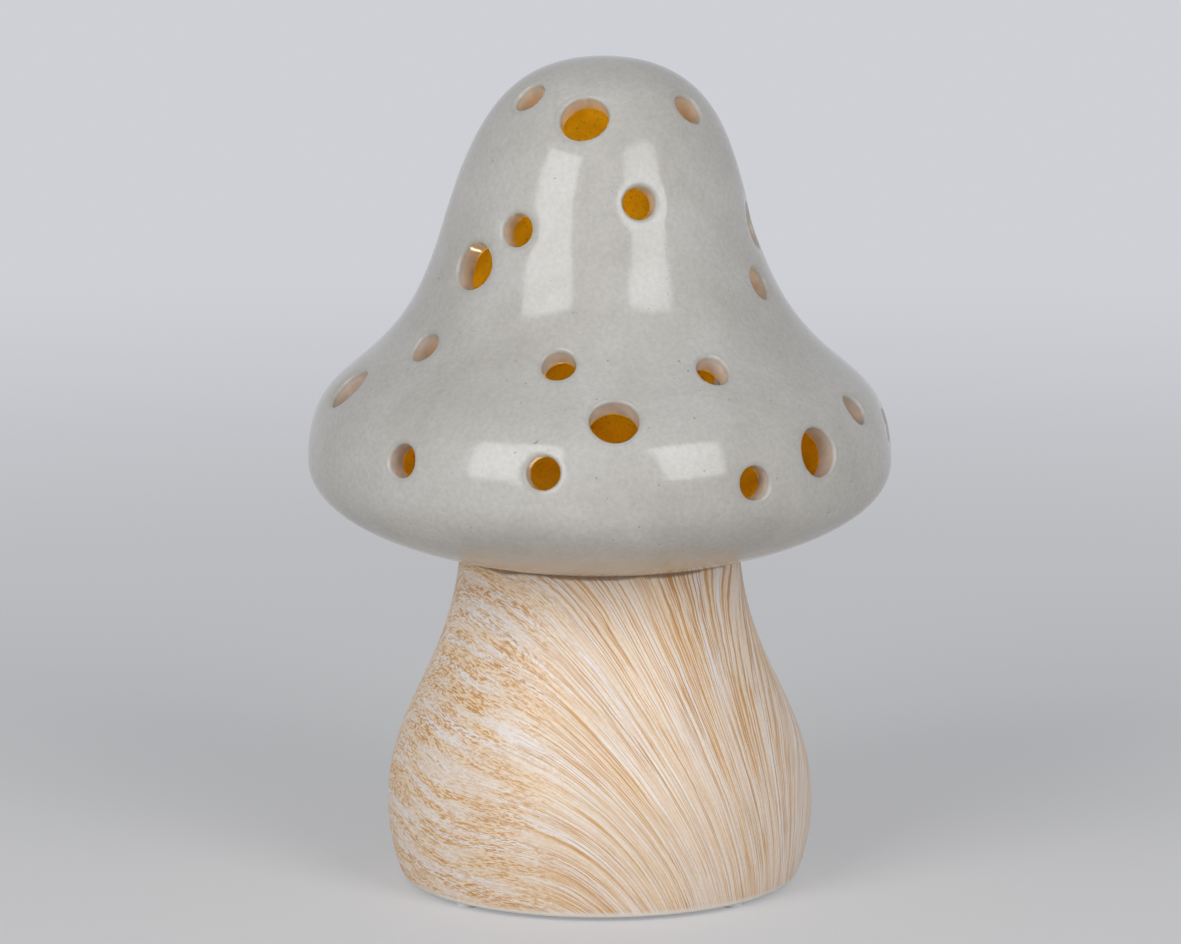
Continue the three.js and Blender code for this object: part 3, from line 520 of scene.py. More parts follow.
def pierce(hole, skin_loop, lining_loop):
    """Lays the rings of one hole. Each has its depth: 0 on the skin, 1 where the gold begins."""
    angles = ring_angles(hole["segments"])
    shape = 1 + sum(size * np.cos(waves * angles + turn)
                    for size, waves, turn in zip(hole["oval"], (2, 3), hole["turn"]))
    radius, axis = hole["radius"] * shape, hole["axis"]

    def skin(beyond):
        return on_surface(hole, radius + beyond, cap_outline, -8, 4) - dip(beyond) * axis

    def inner(beyond):
        return on_surface(hole, radius + beyond, cap_lining, -12, 0)

    rings = [(skin(beyond), 0.0) for beyond in (EDGE + 0.35, EDGE + 0.17, EDGE)]
    bore_top = skin(0.0) - 1.1 * EDGE * axis
    bore_end = inner(0.0) + LINING_EDGE * axis
    for t in np.arange(1, 7) / 6:
        rings.append((corner(skin(EDGE), skin(0.0), bore_top, t), 0.12 * t))
    for t in np.arange(1, 5) / 5:
        rings.append(((1 - t) * bore_top + t * bore_end, 0.12 + 0.8 * t))
    for t in np.arange(0, 4) / 3:
        rings.append((corner(bore_end, inner(0.0), inner(LINING_EDGE), t), 0.95 + 0.2 * t))
    ids = [add_points(points, how_deep) for points, how_deep in rings]
    wrong = zip_rings(ids[0], angles, *skin_loop, facing=axis)
    for outer, nearer in zip(ids[:-1], ids[1:]):
        strip(nearer, outer)
    return wrong + zip_rings(*lining_loop, ids[-1], angles, facing=-axis)


# %% The cap's mesh
ON_LINING = 1.3
skin_rings = respaced(cap_outline, 1.08)[::-1][1:]
first_ring, collar_ring, skin_loops = lay_skin(skin_rings, 264, 0.0, EDGE + 0.7)
points = np.array(vertices)
for hole in holes:
    reach, this_side = hole_reach(points, hole)
    close = (reach < hole["radius"] + 6) & this_side
    points[close] -= dip(reach[close] - hole["radius"])[:, None] * hole["axis"]
vertices = list(points)
lining_rings = respaced(cap_lining, 1.1)[:-1]
floor_ring, last_ring, lining_loops = lay_skin(lining_rings, 192, ON_LINING, LINING_EDGE + 0.35)
wrong = sum(pierce(*hole_and_loops) for hole_and_loops in zip(holes, skin_loops, lining_loops))
print(wrong, "folded triangles round the holes")

crown_pole = add_points([(0, 0, CAP_TOP)], 0.0)[0]
lining_pole = add_points([(0, 0, CAP_TOP - CAP_WALL)], ON_LINING)[0]
faces.extend((crown_pole, a, b) for a, b in zip(first_ring, np.roll(first_ring, -1)))
faces.extend((a, lining_pole, b) for a, b in zip(last_ring, np.roll(last_ring, -1)))
spigot = [(31.3, 72.55), (30.6, 72.6), (26.0, 72.6), (25.5, 72.4), (25.3, 71.9), (25.3, 65.4), (25.1, 64.9),
          (24.6, 64.6), (22.0, 64.6), (21.5, 64.8), (21.3, 65.3), (21.3, 76.4), (21.5, 76.9), (22.0, 77.1)]
above, above_angles = collar_ring, ring_angles(len(collar_ring))
for radius, height in spigot:
    angles = ring_angles(192)
    ring = add_points(on_azimuth(radius, height, np.degrees(angles)), 0.0, 1.0)
    zip_rings(above, above_angles, ring, angles)
    above, above_angles = ring, angles
zip_rings(above, above_angles, floor_ring, ring_angles(len(floor_ring)))

# %% [markdown]
# ### Made by hand
# A cast and glazed cap is never exactly round. In the picture the dome leans a little to the right over
# the waist. So the finished points are moved a little: the dome sideways, and the bell in and out by a
# slow wave. The collar and the spigot stay as they are, because they have to fit the stem.

# %% Handmade wobble and the cap's object
def smooth_step(low, high, value):
    t = np.clip((value - low) / (high - low), 0, 1)
    return t * t * (3 - 2 * t)


points = np.array(vertices)
x, y, z = points.T
free = smooth_step(COLLAR + 2, 95, z)
turn = np.arctan2(x, -y)
swell = 1 + free * (0.0022 * np.sin(2 * turn + 1.3 + z / 30) + 0.0016 * np.sin(3 * turn - 0.7 - z / 23))
points[:, 0] = x * swell + 0.75 * smooth_step(150, 177, z) - 0.4 * np.exp(-((z - 142) / 13) ** 2) * free
points[:, 1] = y * swell
edge_distance = np.full(len(points), 9.0)
for hole in holes:
    reach, this_side = hole_reach(points, hole)
    beyond = np.abs(reach[this_side] - hole["radius"])
    edge_distance[this_side] = np.minimum(edge_distance[this_side], beyond)
used = np.unique(np.concatenate([np.asarray(face) for face in faces]))
place_of = np.full(len(points), -1)
place_of[used] = np.arange(len(used))
cap_faces = [place_of[list(face)].tolist() for face in faces]
cap = mesh_object("glazed_cap", (points[used] * MM).tolist(), faces=cap_faces)
store(cap, depth=np.array(depth)[used], bare=np.array(bare)[used], edge=edge_distance[used])
cap.data.shade_smooth()

# %% [markdown]
# ### Cap finishes
# Outside, the glaze is a warm pale grey with a bluish cast where it lies thick, faint clouds, fine dark
# specks, and a thin darker line round the holes, where it thins over the edge. In the bores it is thin
# over a cream body, and deep down towards the crown it is painted warmer, a painted glow of the light
# inside. Inside a metallic gold lustre was brushed on, which ends in an uneven line, and a band along that
# line is painted lighter as a painted glint. One shader holds all of these, and the numbers stored on the
# points say where each of them lies.

# %% Glaze
glaze = Finish("cap_glaze")
how_deep, from_edge, unglazed = (glaze.stored(name) for name in ("depth", "edge", "bare"))
height = glaze.axis(glaze.place, "Z")
tone = glaze.ramp(glaze.noise(38.0, 4.0, 0.6, 0.4), (0.32, (0.43, 0.412, 0.38)), (0.5, (0.475, 0.458, 0.43)),
                  (0.7, (0.52, 0.505, 0.48)))
tone = glaze.mix(0.35, tone, glaze.mottle(900.0, 3.0, 0.42, 0.6, 0.35, 0.65, 0.7), "OVERLAY")
specks = glaze.mottle(950.0, 1.0, 0, 0.7, 0.765, 0.81, 0.4)
tone = glaze.mix(specks, tone, (0.24, 0.21, 0.17))
streaked = glaze.node("ShaderNodeMapping", {"Vector": glaze.place, "Scale": (1.0, 1.0, 9.0)})
streaks = glaze.ramp(glaze.noise(85.0, 4.0, 0.65, place=streaked), (0.3, 0.45), (0.62, 1))
tone = glaze.mix(glaze.fade(height, 82 * MM, 74 * MM) * streaks, tone, (0.54, 0.42, 0.29))
thin_line = glaze.ramp(from_edge * 0.5, (0.0, 0.3), (0.32, 0.75), (0.62, 0))
tone = glaze.mix(thin_line * 0.45, tone, (0.36, 0.345, 0.31))

# %% Bores, gold lining and the whole finish
bore_tone = glaze.mottle(300.0, 3.0, (0.6, 0.52, 0.44), (0.7, 0.63, 0.56), 0.35, 0.65)
# Deeper in the bores towards the crown the tone turns warm orange: a painted glow of the warm light that the
# gold lining and the LED throw into them.
bore_painted_glow = glaze.fade(height, 118 * MM, 150 * MM) * glaze.ramp(how_deep, (0.2, 0.25), (0.9, 0.9))
bore_tone = glaze.mix(bore_painted_glow, bore_tone, (0.74, 0.57, 0.37))
tone = glaze.mix(glaze.ramp(how_deep, (0.05, 0), (0.22, 1)), tone, bore_tone)
uneven_depth = how_deep + (glaze.noise(450.0, 3.0, 0.6) * 0.5 - 0.25)
gold_mask = glaze.ramp(uneven_depth, (0.92, 0), (0.96, 1))
# Along the lining's uneven edge the gold is painted lighter, less metallic and glossier: a painted glint
# where that edge catches the LED's light.
gold_edge_painted_glint = glaze.ramp(uneven_depth, (0.9, 0), (0.94, 1), (1.02, 1), (1.07, 0))
gold_tone = glaze.ramp(glaze.noise(120.0, 5.0, 0.65), (0.3, (0.84, 0.6, 0.02)), (0.5, (0.93, 0.7, 0.03)),
                       (0.7, (1.0, 0.79, 0.045)))
gold_tone = glaze.mix(glaze.mottle(1700.0, 2.0, 0, 0.5, 0.58, 0.72, 0.6), gold_tone, (0.4, 0.22, 0.03))
gold_tone = glaze.mix(gold_edge_painted_glint, gold_tone, (1.0, 0.74, 0.16))
tone = glaze.mix(unglazed, glaze.mix(gold_mask, tone, gold_tone), (0.78, 0.74, 0.68))
metal = gold_mask * (1.0 - unglazed) * (gold_edge_painted_glint * -0.75 + 1.0)
gloss = glaze.mix(gold_mask, glaze.mottle(60.0, 3.0, 0.09, 0.17), glaze.mottle(220.0, 3.0, 0.6, 0.76))
gloss = glaze.mix(gold_edge_painted_glint * gold_mask, gloss, 0.35)
gloss = glaze.mix(unglazed, gloss, 0.85)
ripple = glaze.noise(55.0) + glaze.noise(650.0) * 0.05
glaze.wear(tone, gloss, ripple, 0.00035, 0.6, Metallic=metal, IOR=1.52, Specular_IOR_Level=0.4)
cap.data.materials.append(glaze.material)
dress(cap, "cap_glaze", "cap", "cap")

# %% [markdown]
# ## A lathe made of nodes
# Most other pieces of this light are turned or moulded round an axis: the stem, the dome, the post, the
# ring. So one Geometry Nodes tool does the lathe's work. It gets an outline, lays a grid over it, and
# bends each column of the grid to its angle. The outline's third number says how freely a point may
# wobble, for what is cast by hand.

# %% Tools made of geometry nodes
class Tool(Recipe):
    """A Geometry Nodes tree with an input for a geometry, a material and what else it is told."""
    def __init__(self, name, **kinds):
        super().__init__(bpy.data.node_groups.new(name, "GeometryNodeTree"))
        self.tree.is_modifier = True
        for label, kind in {"Geometry": "Geometry", **kinds, "Material": "Material"}.items():
            self.tree.interface.new_socket(label, in_out="INPUT", socket_type="NodeSocket" + kind)
        self.tree.interface.new_socket("Geometry", in_out="OUTPUT", socket_type="NodeSocketGeometry")
        self.given, self.end = self.tree.nodes.new("NodeGroupInput"), self.tree.nodes.new("NodeGroupOutput")

    def __getitem__(self, label):
        return Value(self, self.given.outputs[label])

    def finish(self, geometry):
        whole = self.node("GeometryNodeRealizeInstances", {"Geometry": geometry})
        inputs = {"Geometry": whole, "Material": self["Material"]}
        feed(self.end.inputs[0], self.node("GeometryNodeSetMaterial", inputs))

    def run(self, name, source, **values):
        """Runs the tool on an object, keeps the result as a plain mesh, and removes the object."""
        modifier = source.modifiers.new("tool", "NODES")
        modifier.node_group = self.tree
        for item in self.tree.interface.items_tree:
            if item.in_out == "INPUT" and item.name in values:
                modifier[item.identifier] = values[item.name]
        bpy.context.view_layer.update()
        result = source.evaluated_get(bpy.context.evaluated_depsgraph_get())
        made = shown(name, bpy.data.meshes.new_from_object(result))
        made.data.name = name
        made.data.set_sharp_from_angle(angle=math.radians(40))
        old = source.data
        bpy.data.objects.remove(source)
        bpy.data.meshes.remove(old)
        return made


# %% The lathe tool
lathe = Tool("lathe", Sides="Int", Wobble="Float", Waves="Float", Seed="Float")
count = lathe.node("GeometryNodeAttributeDomainSize", {"Geometry": lathe["Geometry"]}, component="MESH")
grid_size = {"Size X": 1.0, "Size Y": 1.0, "Vertices X": count, "Vertices Y": lathe["Sides"] + 1.0}
grid = lathe.node("GeometryNodeMeshGrid", grid_size)
position = lathe.node("GeometryNodeInputPosition")
row = calculate("ROUND", (lathe.axis(position, "X") + 0.5) * (count - 1.0))
angle = (lathe.axis(position, "Y") + 0.5) * (2 * math.pi)
outline_point = lathe.node("GeometryNodeSampleIndex", {
    "Geometry": lathe["Geometry"], "Value": position, "Index": row,
}, data_type="FLOAT_VECTOR", domain="POINT")
radius, height, freedom = (lathe.axis(outline_point, axis) for axis in "XYZ")
turned = lathe.node("ShaderNodeCombineXYZ", {
    "X": radius * calculate("SINE", angle), "Y": radius * (calculate("COSINE", angle) * -1.0), "Z": height,
})
waver = lathe.node("ShaderNodeTexNoise", {
    "Vector": turned, "W": lathe["Seed"], "Scale": lathe["Waves"], "Detail": 1.0,
}, "Color", noise_dimensions="4D")
waver = lathe.node("ShaderNodeVectorMath", {0: waver, 1: (0.5, 0.5, 0.5)}, operation="SUBTRACT")
waver = lathe.node("ShaderNodeVectorMath", {0: waver, "Scale": freedom * lathe["Wobble"]}, operation="SCALE")
shell = lathe.node("GeometryNodeSetPosition", {"Geometry": grid, "Position": turned, "Offset": waver})
shell = lathe.node("GeometryNodeMergeByDistance", {"Geometry": shell, "Distance": 1e-6})
lathe.finish(lathe.node("GeometryNodeSetShadeSmooth", {"Geometry": shell}))


def turn_outline(name, outline, finish, sides=128, wobble=0.0, waves=30.0, seed=0.0):
    """Turns an outline in millimetres, which runs down the outside, into a closed shell."""
    points = [(r * MM, h * MM, free[0] if free else 0.0) for r, h, *free in outline]
    source = mesh_object(name + "_outline", points, [(i, i + 1) for i in range(len(points) - 1)])
    return lathe.run(name, source, Sides=sides, Wobble=wobble * MM, Waves=waves, Seed=seed,
                     Material=finish.material)


# %% [markdown]
# ## Stem: printed wood grain
# The stem is a casting with a transfer print of wood grain under a satin glaze. On the print the grain
# comes down from the left in flat rows of short flecks, steepens in the middle, and runs almost upright
# on the right. A noise stretched along one straight direction can't do that. So a smooth field is stored
# on the stem's points, whose level lines run the way the grain does, and the grain's noises read that
# field instead of a coordinate.

# %% Grain field
GRAIN_SEEN = {  # height: the print's lean in degrees below level, at some places across
    66: ((-20, 38), (-10, 45), (3, 50), (13, 68), (23, 90)),
    50: ((-29, 25), (-18, 25), (-6, 37), (8, 60), (22, 74)),
    36: ((-41, 50), (-30, 18), (-18, 22), (-8, 38), (13, 66), (33, 74)),
    24: ((-43, 40), (-32, 8), (-18, 16), (3, 43), (18, 65), (30, 74), (42, 88)),
    6: ((-42, 45), (-31, 5), (-12, 8), (2, 44), (10, 55), (32, 88)),
}
POWERS = [(i, j) for i in range(5) for j in range(5 - i) if i + j]
HALF_WIDTH, HALF_HEIGHT = 40, 36


def field_terms(x, height):
    """The powers that the field is a sum of, and how fast each of them grows across and upwards."""
    x, height = x / HALF_WIDTH, (height - HALF_HEIGHT) / HALF_HEIGHT
    value = np.stack([x ** i * height ** j for i, j in POWERS], axis=1)
    grows_across = np.stack([i * x ** max(i - 1, 0) * height ** j / HALF_WIDTH for i, j in POWERS], axis=1)
    grows_up = np.stack([j * x ** i * height ** max(j - 1, 0) / HALF_HEIGHT for i, j in POWERS], axis=1)
    return value, grows_across, grows_up


seen = np.array([(x, height, lean) for height, row in GRAIN_SEEN.items() for x, lean in row], float)
_, grows_across, grows_up = field_terms(seen[:, 0], seen[:, 1])
lean_cos, lean_sin = np.cos(np.radians(seen[:, 2:])), np.sin(np.radians(seen[:, 2:]))
along_grain = grows_across * lean_cos - grows_up * lean_sin
over_grain = grows_across * lean_sin + grows_up * lean_cos
calm = np.diag([0.002 * (i + j - 1) for i, j in POWERS])
wanted = np.concatenate([np.zeros(len(seen)), np.full(len(seen), 0.2), np.zeros(len(POWERS))])
weights = np.linalg.lstsq(np.vstack([along_grain, 0.2 * over_grain, calm]), wanted, rcond=None)[0]
weights /= np.median(np.hypot(grows_across @ weights, grows_up @ weights))
off = np.degrees(np.arctan2(np.abs(along_grain @ weights), over_grain @ weights))
print("the field's grain is off by", np.median(off).round(1), "degrees, at most", off.max().round(1))


def grain_field(points):
    """The fitted field, with a share that grows towards the back, where it would else mirror the front."""
    behind = points[:, 1] + 6
    return field_terms(points[:, 0], points[:, 2])[0] @ weights + 0.45 * (behind + np.hypot(behind, 8))


# %% Wood print finish
wood = Finish("wood_print")
field = wood.stored("grain") + (wood.noise(70.0, 3.0, 0.6) * 0.9 - 0.45)


def grain(per_mm, along_per_m, *stops, detail=2.0, roughness=0.55):
    """Noise with so many features per millimetre over the grain and so many per metre along it."""
    stretched = field * (per_mm / along_per_m)
    return wood.ramp(wood.noise(along_per_m, detail, roughness, w=stretched), *stops)


spread = wood.noise(45.0, 3.0, 0.6) * 0.04 + wood.axis(wood.place, "X")
lines_share = wood.fade(spread, -10 * MM, 20 * MM, kind="SMOOTHSTEP")
# Towards the right side the print turns paler, with less ink, in uneven patches.
paler_at_right = wood.fade(spread, 54 * MM, 68 * MM, 0.4)
rows = grain(0.62, 75.0, (0.4, 0), (0.53, 1), detail=3.0)
bundles = grain(0.45, 24.0, (0.34, 0.45), (0.56, 1))
bleed = wood.mix(lines_share, rows * 0.75, grain(0.25, 20.0, (0.4, 0), (0.65, 0.65), detail=3.0))
ground = wood.mix(bleed, (0.8, 0.7, 0.61), (0.81, 0.61, 0.41))
pale = calculate("MAXIMUM", grain(0.9, 30.0, (0.53, 0), (0.6, 0.85)), paler_at_right)
ground = wood.mix(pale, ground, (0.8, 0.765, 0.755))
ground = wood.mix(0.6, ground, wood.mottle(1500.0, 1.0, 0.42, 0.56, 0.35, 0.65), "OVERLAY")
lines = grain(3.6, 36.0, (0.495, 0), (0.535, 1), detail=4.0, roughness=0.7) * bundles
flecks = grain(4.6, 640.0, (0.48, 0), (0.56, 1), roughness=0.6) * (rows * 0.7 + 0.3)
inked = wood.mix(lines_share, flecks, lines) * (1.0 - paler_at_right)
ink = grain(0.3, 30.0, (0.35, (0.59, 0.305, 0.075)), (0.65, (0.48, 0.215, 0.035)))
tone = wood.mix(inked * 0.92, ground, ink)
# Just under the cap's collar the top of the stem is painted dark brown with an uneven edge: the joint line,
# deepened by painted shade of the gap between cap and stem.
uneven_height = wood.noise(160.0, 3.0) * 0.0016 + wood.axis(wood.place, "Z")
joint_line_and_painted_shade = wood.fade(uneven_height, 72.2 * MM, 72.7 * MM)
tone = wood.mix(joint_line_and_painted_shade * 0.8, tone, (0.2, 0.1, 0.045))
tone = wood.mix(wood.stored("printed"), (0.8, 0.77, 0.72), tone)
wood.wear(tone, wood.mottle(90.0, 3.0, 0.42, 0.55), wood.noise(400.0, 3.0), 0.00012, 0.5)

# %% The stem's mesh
STEM_WALL, OPENING, NECK_BORE, STEM_TOP = 4.5, 37.1, 25.9, 72.3
outside = respaced(stem_outline, 0.85)[::-1][1:-1]
hollow = inset(stem_outline, STEM_WALL)
hollow = respaced(hollow[(hollow[:, 1] > 7) & (hollow[:, 1] < 61.3)], 2.5)
stem_path = [
    (30.0, STEM_TOP, 1), (30.3, STEM_TOP - 0.12, 1),
    *[(radius, height, min(1, (height - 2) / 6)) for radius, height in outside if height < STEM_TOP - 0.3],
    (43.45, 1.7, 0), (43.2, 1.25, 0), (42.7, 1, 0), (38, 1, 0), (37.3, 1.1, 0), (OPENING, 1.4, 0),
    (OPENING, 5.6, 0), (37.5, 6, 0), (hollow[0, 0] - 1, 6, 0), *[(*point, 0) for point in hollow],
    (26.6, 62.0, 0), (NECK_BORE, 62.6, 0), *[(NECK_BORE, height, 0) for height in (65, 68, 71.6)],
    (26.1, 72.1, 0.5), (26.6, STEM_TOP, 1), (29.3, STEM_TOP, 1), (30.0, STEM_TOP, 1),
]
stem = turn_outline("printed_stem", stem_path, wood, sides=240, wobble=0.5, waves=22.0, seed=3.0)
points = points_of(stem)
radius = np.hypot(points[:, 0], points[:, 1])
outer_radius = np.interp(points[:, 2], stem_outline[:, 1], stem_outline[:, 0])
store(stem, grain=grain_field(points),
      printed=smooth_step(1.5, 2.1, points[:, 2]) * (radius > outer_radius - 0.7))
dress(stem, "wood_print", "base", "stem")

# %% [markdown]
# ## Rounded corners
# No moulded or turned piece has a knife edge. The outlines below are short lists of corners, each a
# radius, a height and a rounding, and this helper rounds them.

# %% Rounding
UNIT = size_of("unit_base")[0][2]
print("the light unit's floor lies", round(UNIT, 2), "mm above the table")


def rounded(corners, steps=4, hold=0.12):
    """An outline through corners, with a point on either side of each rounding that holds the flats flat."""
    made = []
    for i, (*middle, rounding) in enumerate(corners):
        if rounding == 0:
            made.append(tuple(middle))
            continue
        ways = [np.array(corners[(i + step) % len(corners)][:2]) - middle for step in (-1, 1)]
        spans = [np.linalg.norm(way) for way in ways]
        reach = min(rounding, 0.4 * min(spans))
        start, end = [middle + way / span * reach for way, span in zip(ways, spans)]
        made.append(tuple(start + ways[0] / spans[0] * min(hold, 0.08 * spans[0])))
        made += [tuple(corner(start, np.array(middle), end, t)) for t in np.linspace(0, 1, steps + 1)]
        made.append(tuple(end + ways[1] / spans[1] * min(hold, 0.08 * spans[1])))
    return made


def turn_corners(name, corners, finish, sides):
    return turn_outline(name, rounded(corners), finish, sides)


# %% [markdown]
# ## Two more tools: tube and repeat
# Wires and springs follow a path, so the tube tool runs a round section along one. Pads, screws and
# batteries come in twos and fours, so the repeat tool sets copies of one piece on given places, turned as
# each place says.

# %% Tube and repeat tools
tube = Tool("tube", Radius="Float", Sides="Int")
path = tube.node("GeometryNodeMeshToCurve", {"Mesh": tube["Geometry"]})
round_section = {"Resolution": tube["Sides"], "Radius": tube["Radius"]}
section = tube.node("GeometryNodeCurvePrimitiveCircle", round_section)
skin = tube.node("GeometryNodeCurveToMesh", {"Curve": path, "Profile Curve": section, "Fill Caps": True})
tube.finish(tube.node("GeometryNodeSetShadeSmooth", {"Geometry": skin}))

repeat = Tool("repeat", Piece="Object")
shape = repeat.node("GeometryNodeObjectInfo", {"Object": repeat["Piece"]}, "Geometry",
                    transform_space="ORIGINAL")
spin = repeat.node("GeometryNodeInputNamedAttribute", {"Name": "turn"}, data_type="FLOAT")
spin = repeat.node("ShaderNodeCombineXYZ", {"Z": spin})
copies = {"Points": repeat["Geometry"], "Instance": shape, "Rotation": spin}
repeat.finish(repeat.node("GeometryNodeInstanceOnPoints", copies))


def run_tube(name, routes, radius, finish, sides=16):
    """Tubes along one or more routes, each a list of points in millimetres."""
    points, edges = [], []
    for route in routes:
        edges += [(len(points) + i, len(points) + i + 1) for i in range(len(route) - 1)]
        points += [tuple(np.array(point) * MM) for point in route]
    source = mesh_object(name + "_route", points, edges)
    return tube.run(name, source, Radius=radius * MM, Sides=sides, Material=finish.material)


def repeat_piece(name, piece, places, finish, turns=None):
    """Copies of a piece on places in millimetres, each with a turn about the upright."""
    source = mesh_object("places", [tuple(np.array(place) * MM) for place in places])
    store(source, turn=turns or [0.0] * len(places))
    made = repeat.run(name, source, Piece=piece, Material=finish.material)
    bpy.data.objects.remove(piece)
    return made


# %% [markdown]
# ## Cutting and joining
# The unit's floor, its housing and the battery door are mouldings with rooms and bores in them. They are
# made like the real tools make them: simple bodies are joined and others cut away, here by the Boolean
# modifier, and the rims that show from below are then given a small bevel.

# %% Solid bodies and booleans
def body_from(work, name="body"):
    mesh = bpy.data.meshes.new(name)
    work.to_mesh(mesh)
    work.free()
    return shown(name, mesh)


def block(x_low, x_high, y_low, y_high, z_low, z_high):
    low, high = Vector((x_low, y_low, z_low)) * MM, Vector((x_high, y_high, z_high)) * MM
    work = bmesh.new()
    bmesh.ops.create_cube(work, size=1, matrix=Matrix.LocRotScale((low + high) / 2, None, high - low))
    return body_from(work)


def rod(radius, x, y, bottom, top, sides=48):
    work = bmesh.new()
    middle = Matrix.Translation(Vector((x, y, (bottom + top) / 2)) * MM)
    bmesh.ops.create_cone(work, cap_ends=True, segments=sides, radius1=radius * MM, radius2=radius * MM,
                          depth=(top - bottom) * MM, matrix=middle)
    return body_from(work)


def combine(base, tools, operation):
    for tool in tools:
        modifier = base.modifiers.new("combine", "BOOLEAN")
        modifier.operation = operation
        modifier.solver = "EXACT"
        modifier.object = tool
    bpy.context.view_layer.update()
    mesh = bpy.data.meshes.new_from_object(base.evaluated_get(bpy.context.evaluated_depsgraph_get()))
    base.modifiers.clear()
    base.data = mesh
    for tool in tools:
        bpy.data.objects.remove(tool)
    return base


def finish_body(name, made, finish, is_rim, bevel):
    """Merges, bevels the edges that is_rim picks by their two ends in millimetres, and sets the finish."""
    work = bmesh.new()
    work.from_mesh(made.data)
    bmesh.ops.remove_doubles(work, verts=work.verts, dist=2e-6)
    bmesh.ops.dissolve_limit(work, angle_limit=math.radians(0.5), verts=work.verts, edges=work.edges)
    rims = [edge for edge in work.edges if edge.is_manifold and edge.calc_face_angle() > math.radians(40)
            and is_rim(*[np.array(end.co) / MM for end in edge.verts])]
    bmesh.ops.bevel(work, geom=rims, offset=bevel * MM, segments=3, profile=0.5, affect="EDGES",
                    clamp_overlap=True)
    bmesh.ops.remove_doubles(work, verts=work.verts, dist=1e-6)
    work.to_mesh(made.data)
    work.free()
    made.name = made.data.name = name
    made.data.materials.clear()
    made.data.materials.append(finish.material)
    made.data.shade_smooth()
    made.data.set_sharp_from_angle(angle=math.radians(32))
    return made


def dress_softened(name, node, finish, bevel, slot, body="base"):
    """Dresses a copy of a model node with merged corners and small bevels on all its edges."""
    made = finish_body(name, shown(name, nodes[node].data.copy()), finish, lambda a, b: True, bevel)
    dress(made, slot, body, node)


# %% [markdown]
# ## Plastics
# The unit is moulded in off-white plastic with the fine spark-eroded texture of its tool, and the switch
# in black. Both are the same recipe in another colour: slow changes of tone and gloss, and a grain that
# only the light sees.

# %% Moulded plastics
def moulded_plastic(name, colour, roughness):
    made = Finish(name)
    dark, light, speck = [tuple(min(1, part * share) for part in colour) for share in (0.93, 1.04, 0.6)]
    tone = made.mix(made.mottle(1500.0, 1.0, 0, 0.25, 0.7, 0.78), made.mottle(130.0, 3.0, dark, light), speck)
    gloss = made.mottle(300.0, 3.0, roughness - 0.06, roughness + 0.08)
    made.wear(tone, gloss, made.noise(2200.0, 2.0, 0.6), 0.00004, 0.6)
    return made


white_plastic = moulded_plastic("white_plastic", (0.72, 0.71, 0.675), 0.46)
black_plastic = moulded_plastic("black_plastic", (0.02, 0.02, 0.022), 0.4)

# %% [markdown]
# ## Metal
# Contacts, springs and screws are nickel plated: bright, faintly warm, drawn or rolled in one direction,
# and a little duller in patches where fingers touched them.

# %% Nickel-plated steel
steel = Finish("steel")
drawn = steel.node("ShaderNodeMapping", {"Vector": steel.place, "Scale": (1.0, 1.0, 14.0)})
streaks = steel.noise(260.0, 3.0, 0.6, place=drawn)
tone = steel.mottle(180.0, 3.0, (0.5, 0.49, 0.47), (0.68, 0.67, 0.65))
steel.wear(tone, steel.ramp(streaks, (0.3, 0.2), (0.7, 0.38)), streaks, 0.00003, 0.5, Metallic=1.0)

# %% [markdown]
# ## Soft ring and foot pads
# A milky silicone ring grips the stem's opening round the unit, and four small bumpers of clear silicone
# are glued under the foot. Light goes a little way into both, so they get subsurface scattering.

# %% Ring and pads
def silicone(name):
    made = Finish(name)
    made.wear(made.mottle(90.0, 3.0, (0.6, 0.6, 0.57), (0.7, 0.7, 0.68)), made.mottle(500.0, 2.0, 0.45, 0.6),
              made.noise(900.0), 0.00005, 0.5, Subsurface_Weight=0.35, Subsurface_Scale=0.002)
    return made


soft_ring, clear_pad = silicone("soft_ring"), silicone("foot_pad")
(_, _, ring_bottom), (lip_radius, _, ring_top) = size_of("retaining_ring")
RING_INNER, RING_OUTER = 35.3, 36.8
lip_bottom, lip_top = ring_bottom + 2.3, ring_bottom + 3.15
ring_middle = (RING_INNER, (ring_bottom + ring_top) / 2, 0)
ring = turn_corners("soft_retaining_ring", [
    ring_middle, (RING_INNER, ring_top, 0.2), (RING_OUTER, ring_top, 0.3), (lip_radius, lip_top, 0.35),
    (lip_radius, lip_bottom, 0.2), (RING_OUTER, lip_bottom, 0.15), (RING_OUTER, ring_bottom, 0.2),
    (RING_INNER, ring_bottom, 0.2), ring_middle,
], soft_ring, 144)
dress(ring, "soft_ring", "base", "retaining_ring")

pad_names = [f"foot_pad_{k}" for k in (1, 2, 3, 4)]
pad_boxes = [size_of(name) for name in pad_names]
pad_radius, pad_height = (pad_boxes[0][1][0] - pad_boxes[0][0][0]) / 2, pad_boxes[0][1][2]
pad = turn_corners("pad", [
    (0, pad_height, 0), (pad_radius, pad_height, 0.12), (pad_radius, 0, 0.25), (0, 0, 0),
], clear_pad, 48)
pad_places = [(*((low + high) / 2)[:2], 0) for low, high in pad_boxes]
pads = repeat_piece("clear_foot_pads", pad, pad_places, clear_pad)
dress(pads, "foot_pad", "base", *pad_names)

# %% [markdown]
# ## Unit floor and battery door
# From below the unit shows a round floor with the battery door let into it, wells for four screws, and a
# slot for the switch. All of it is one moulding on the real thing, so all of it is joined into one shell
# here.

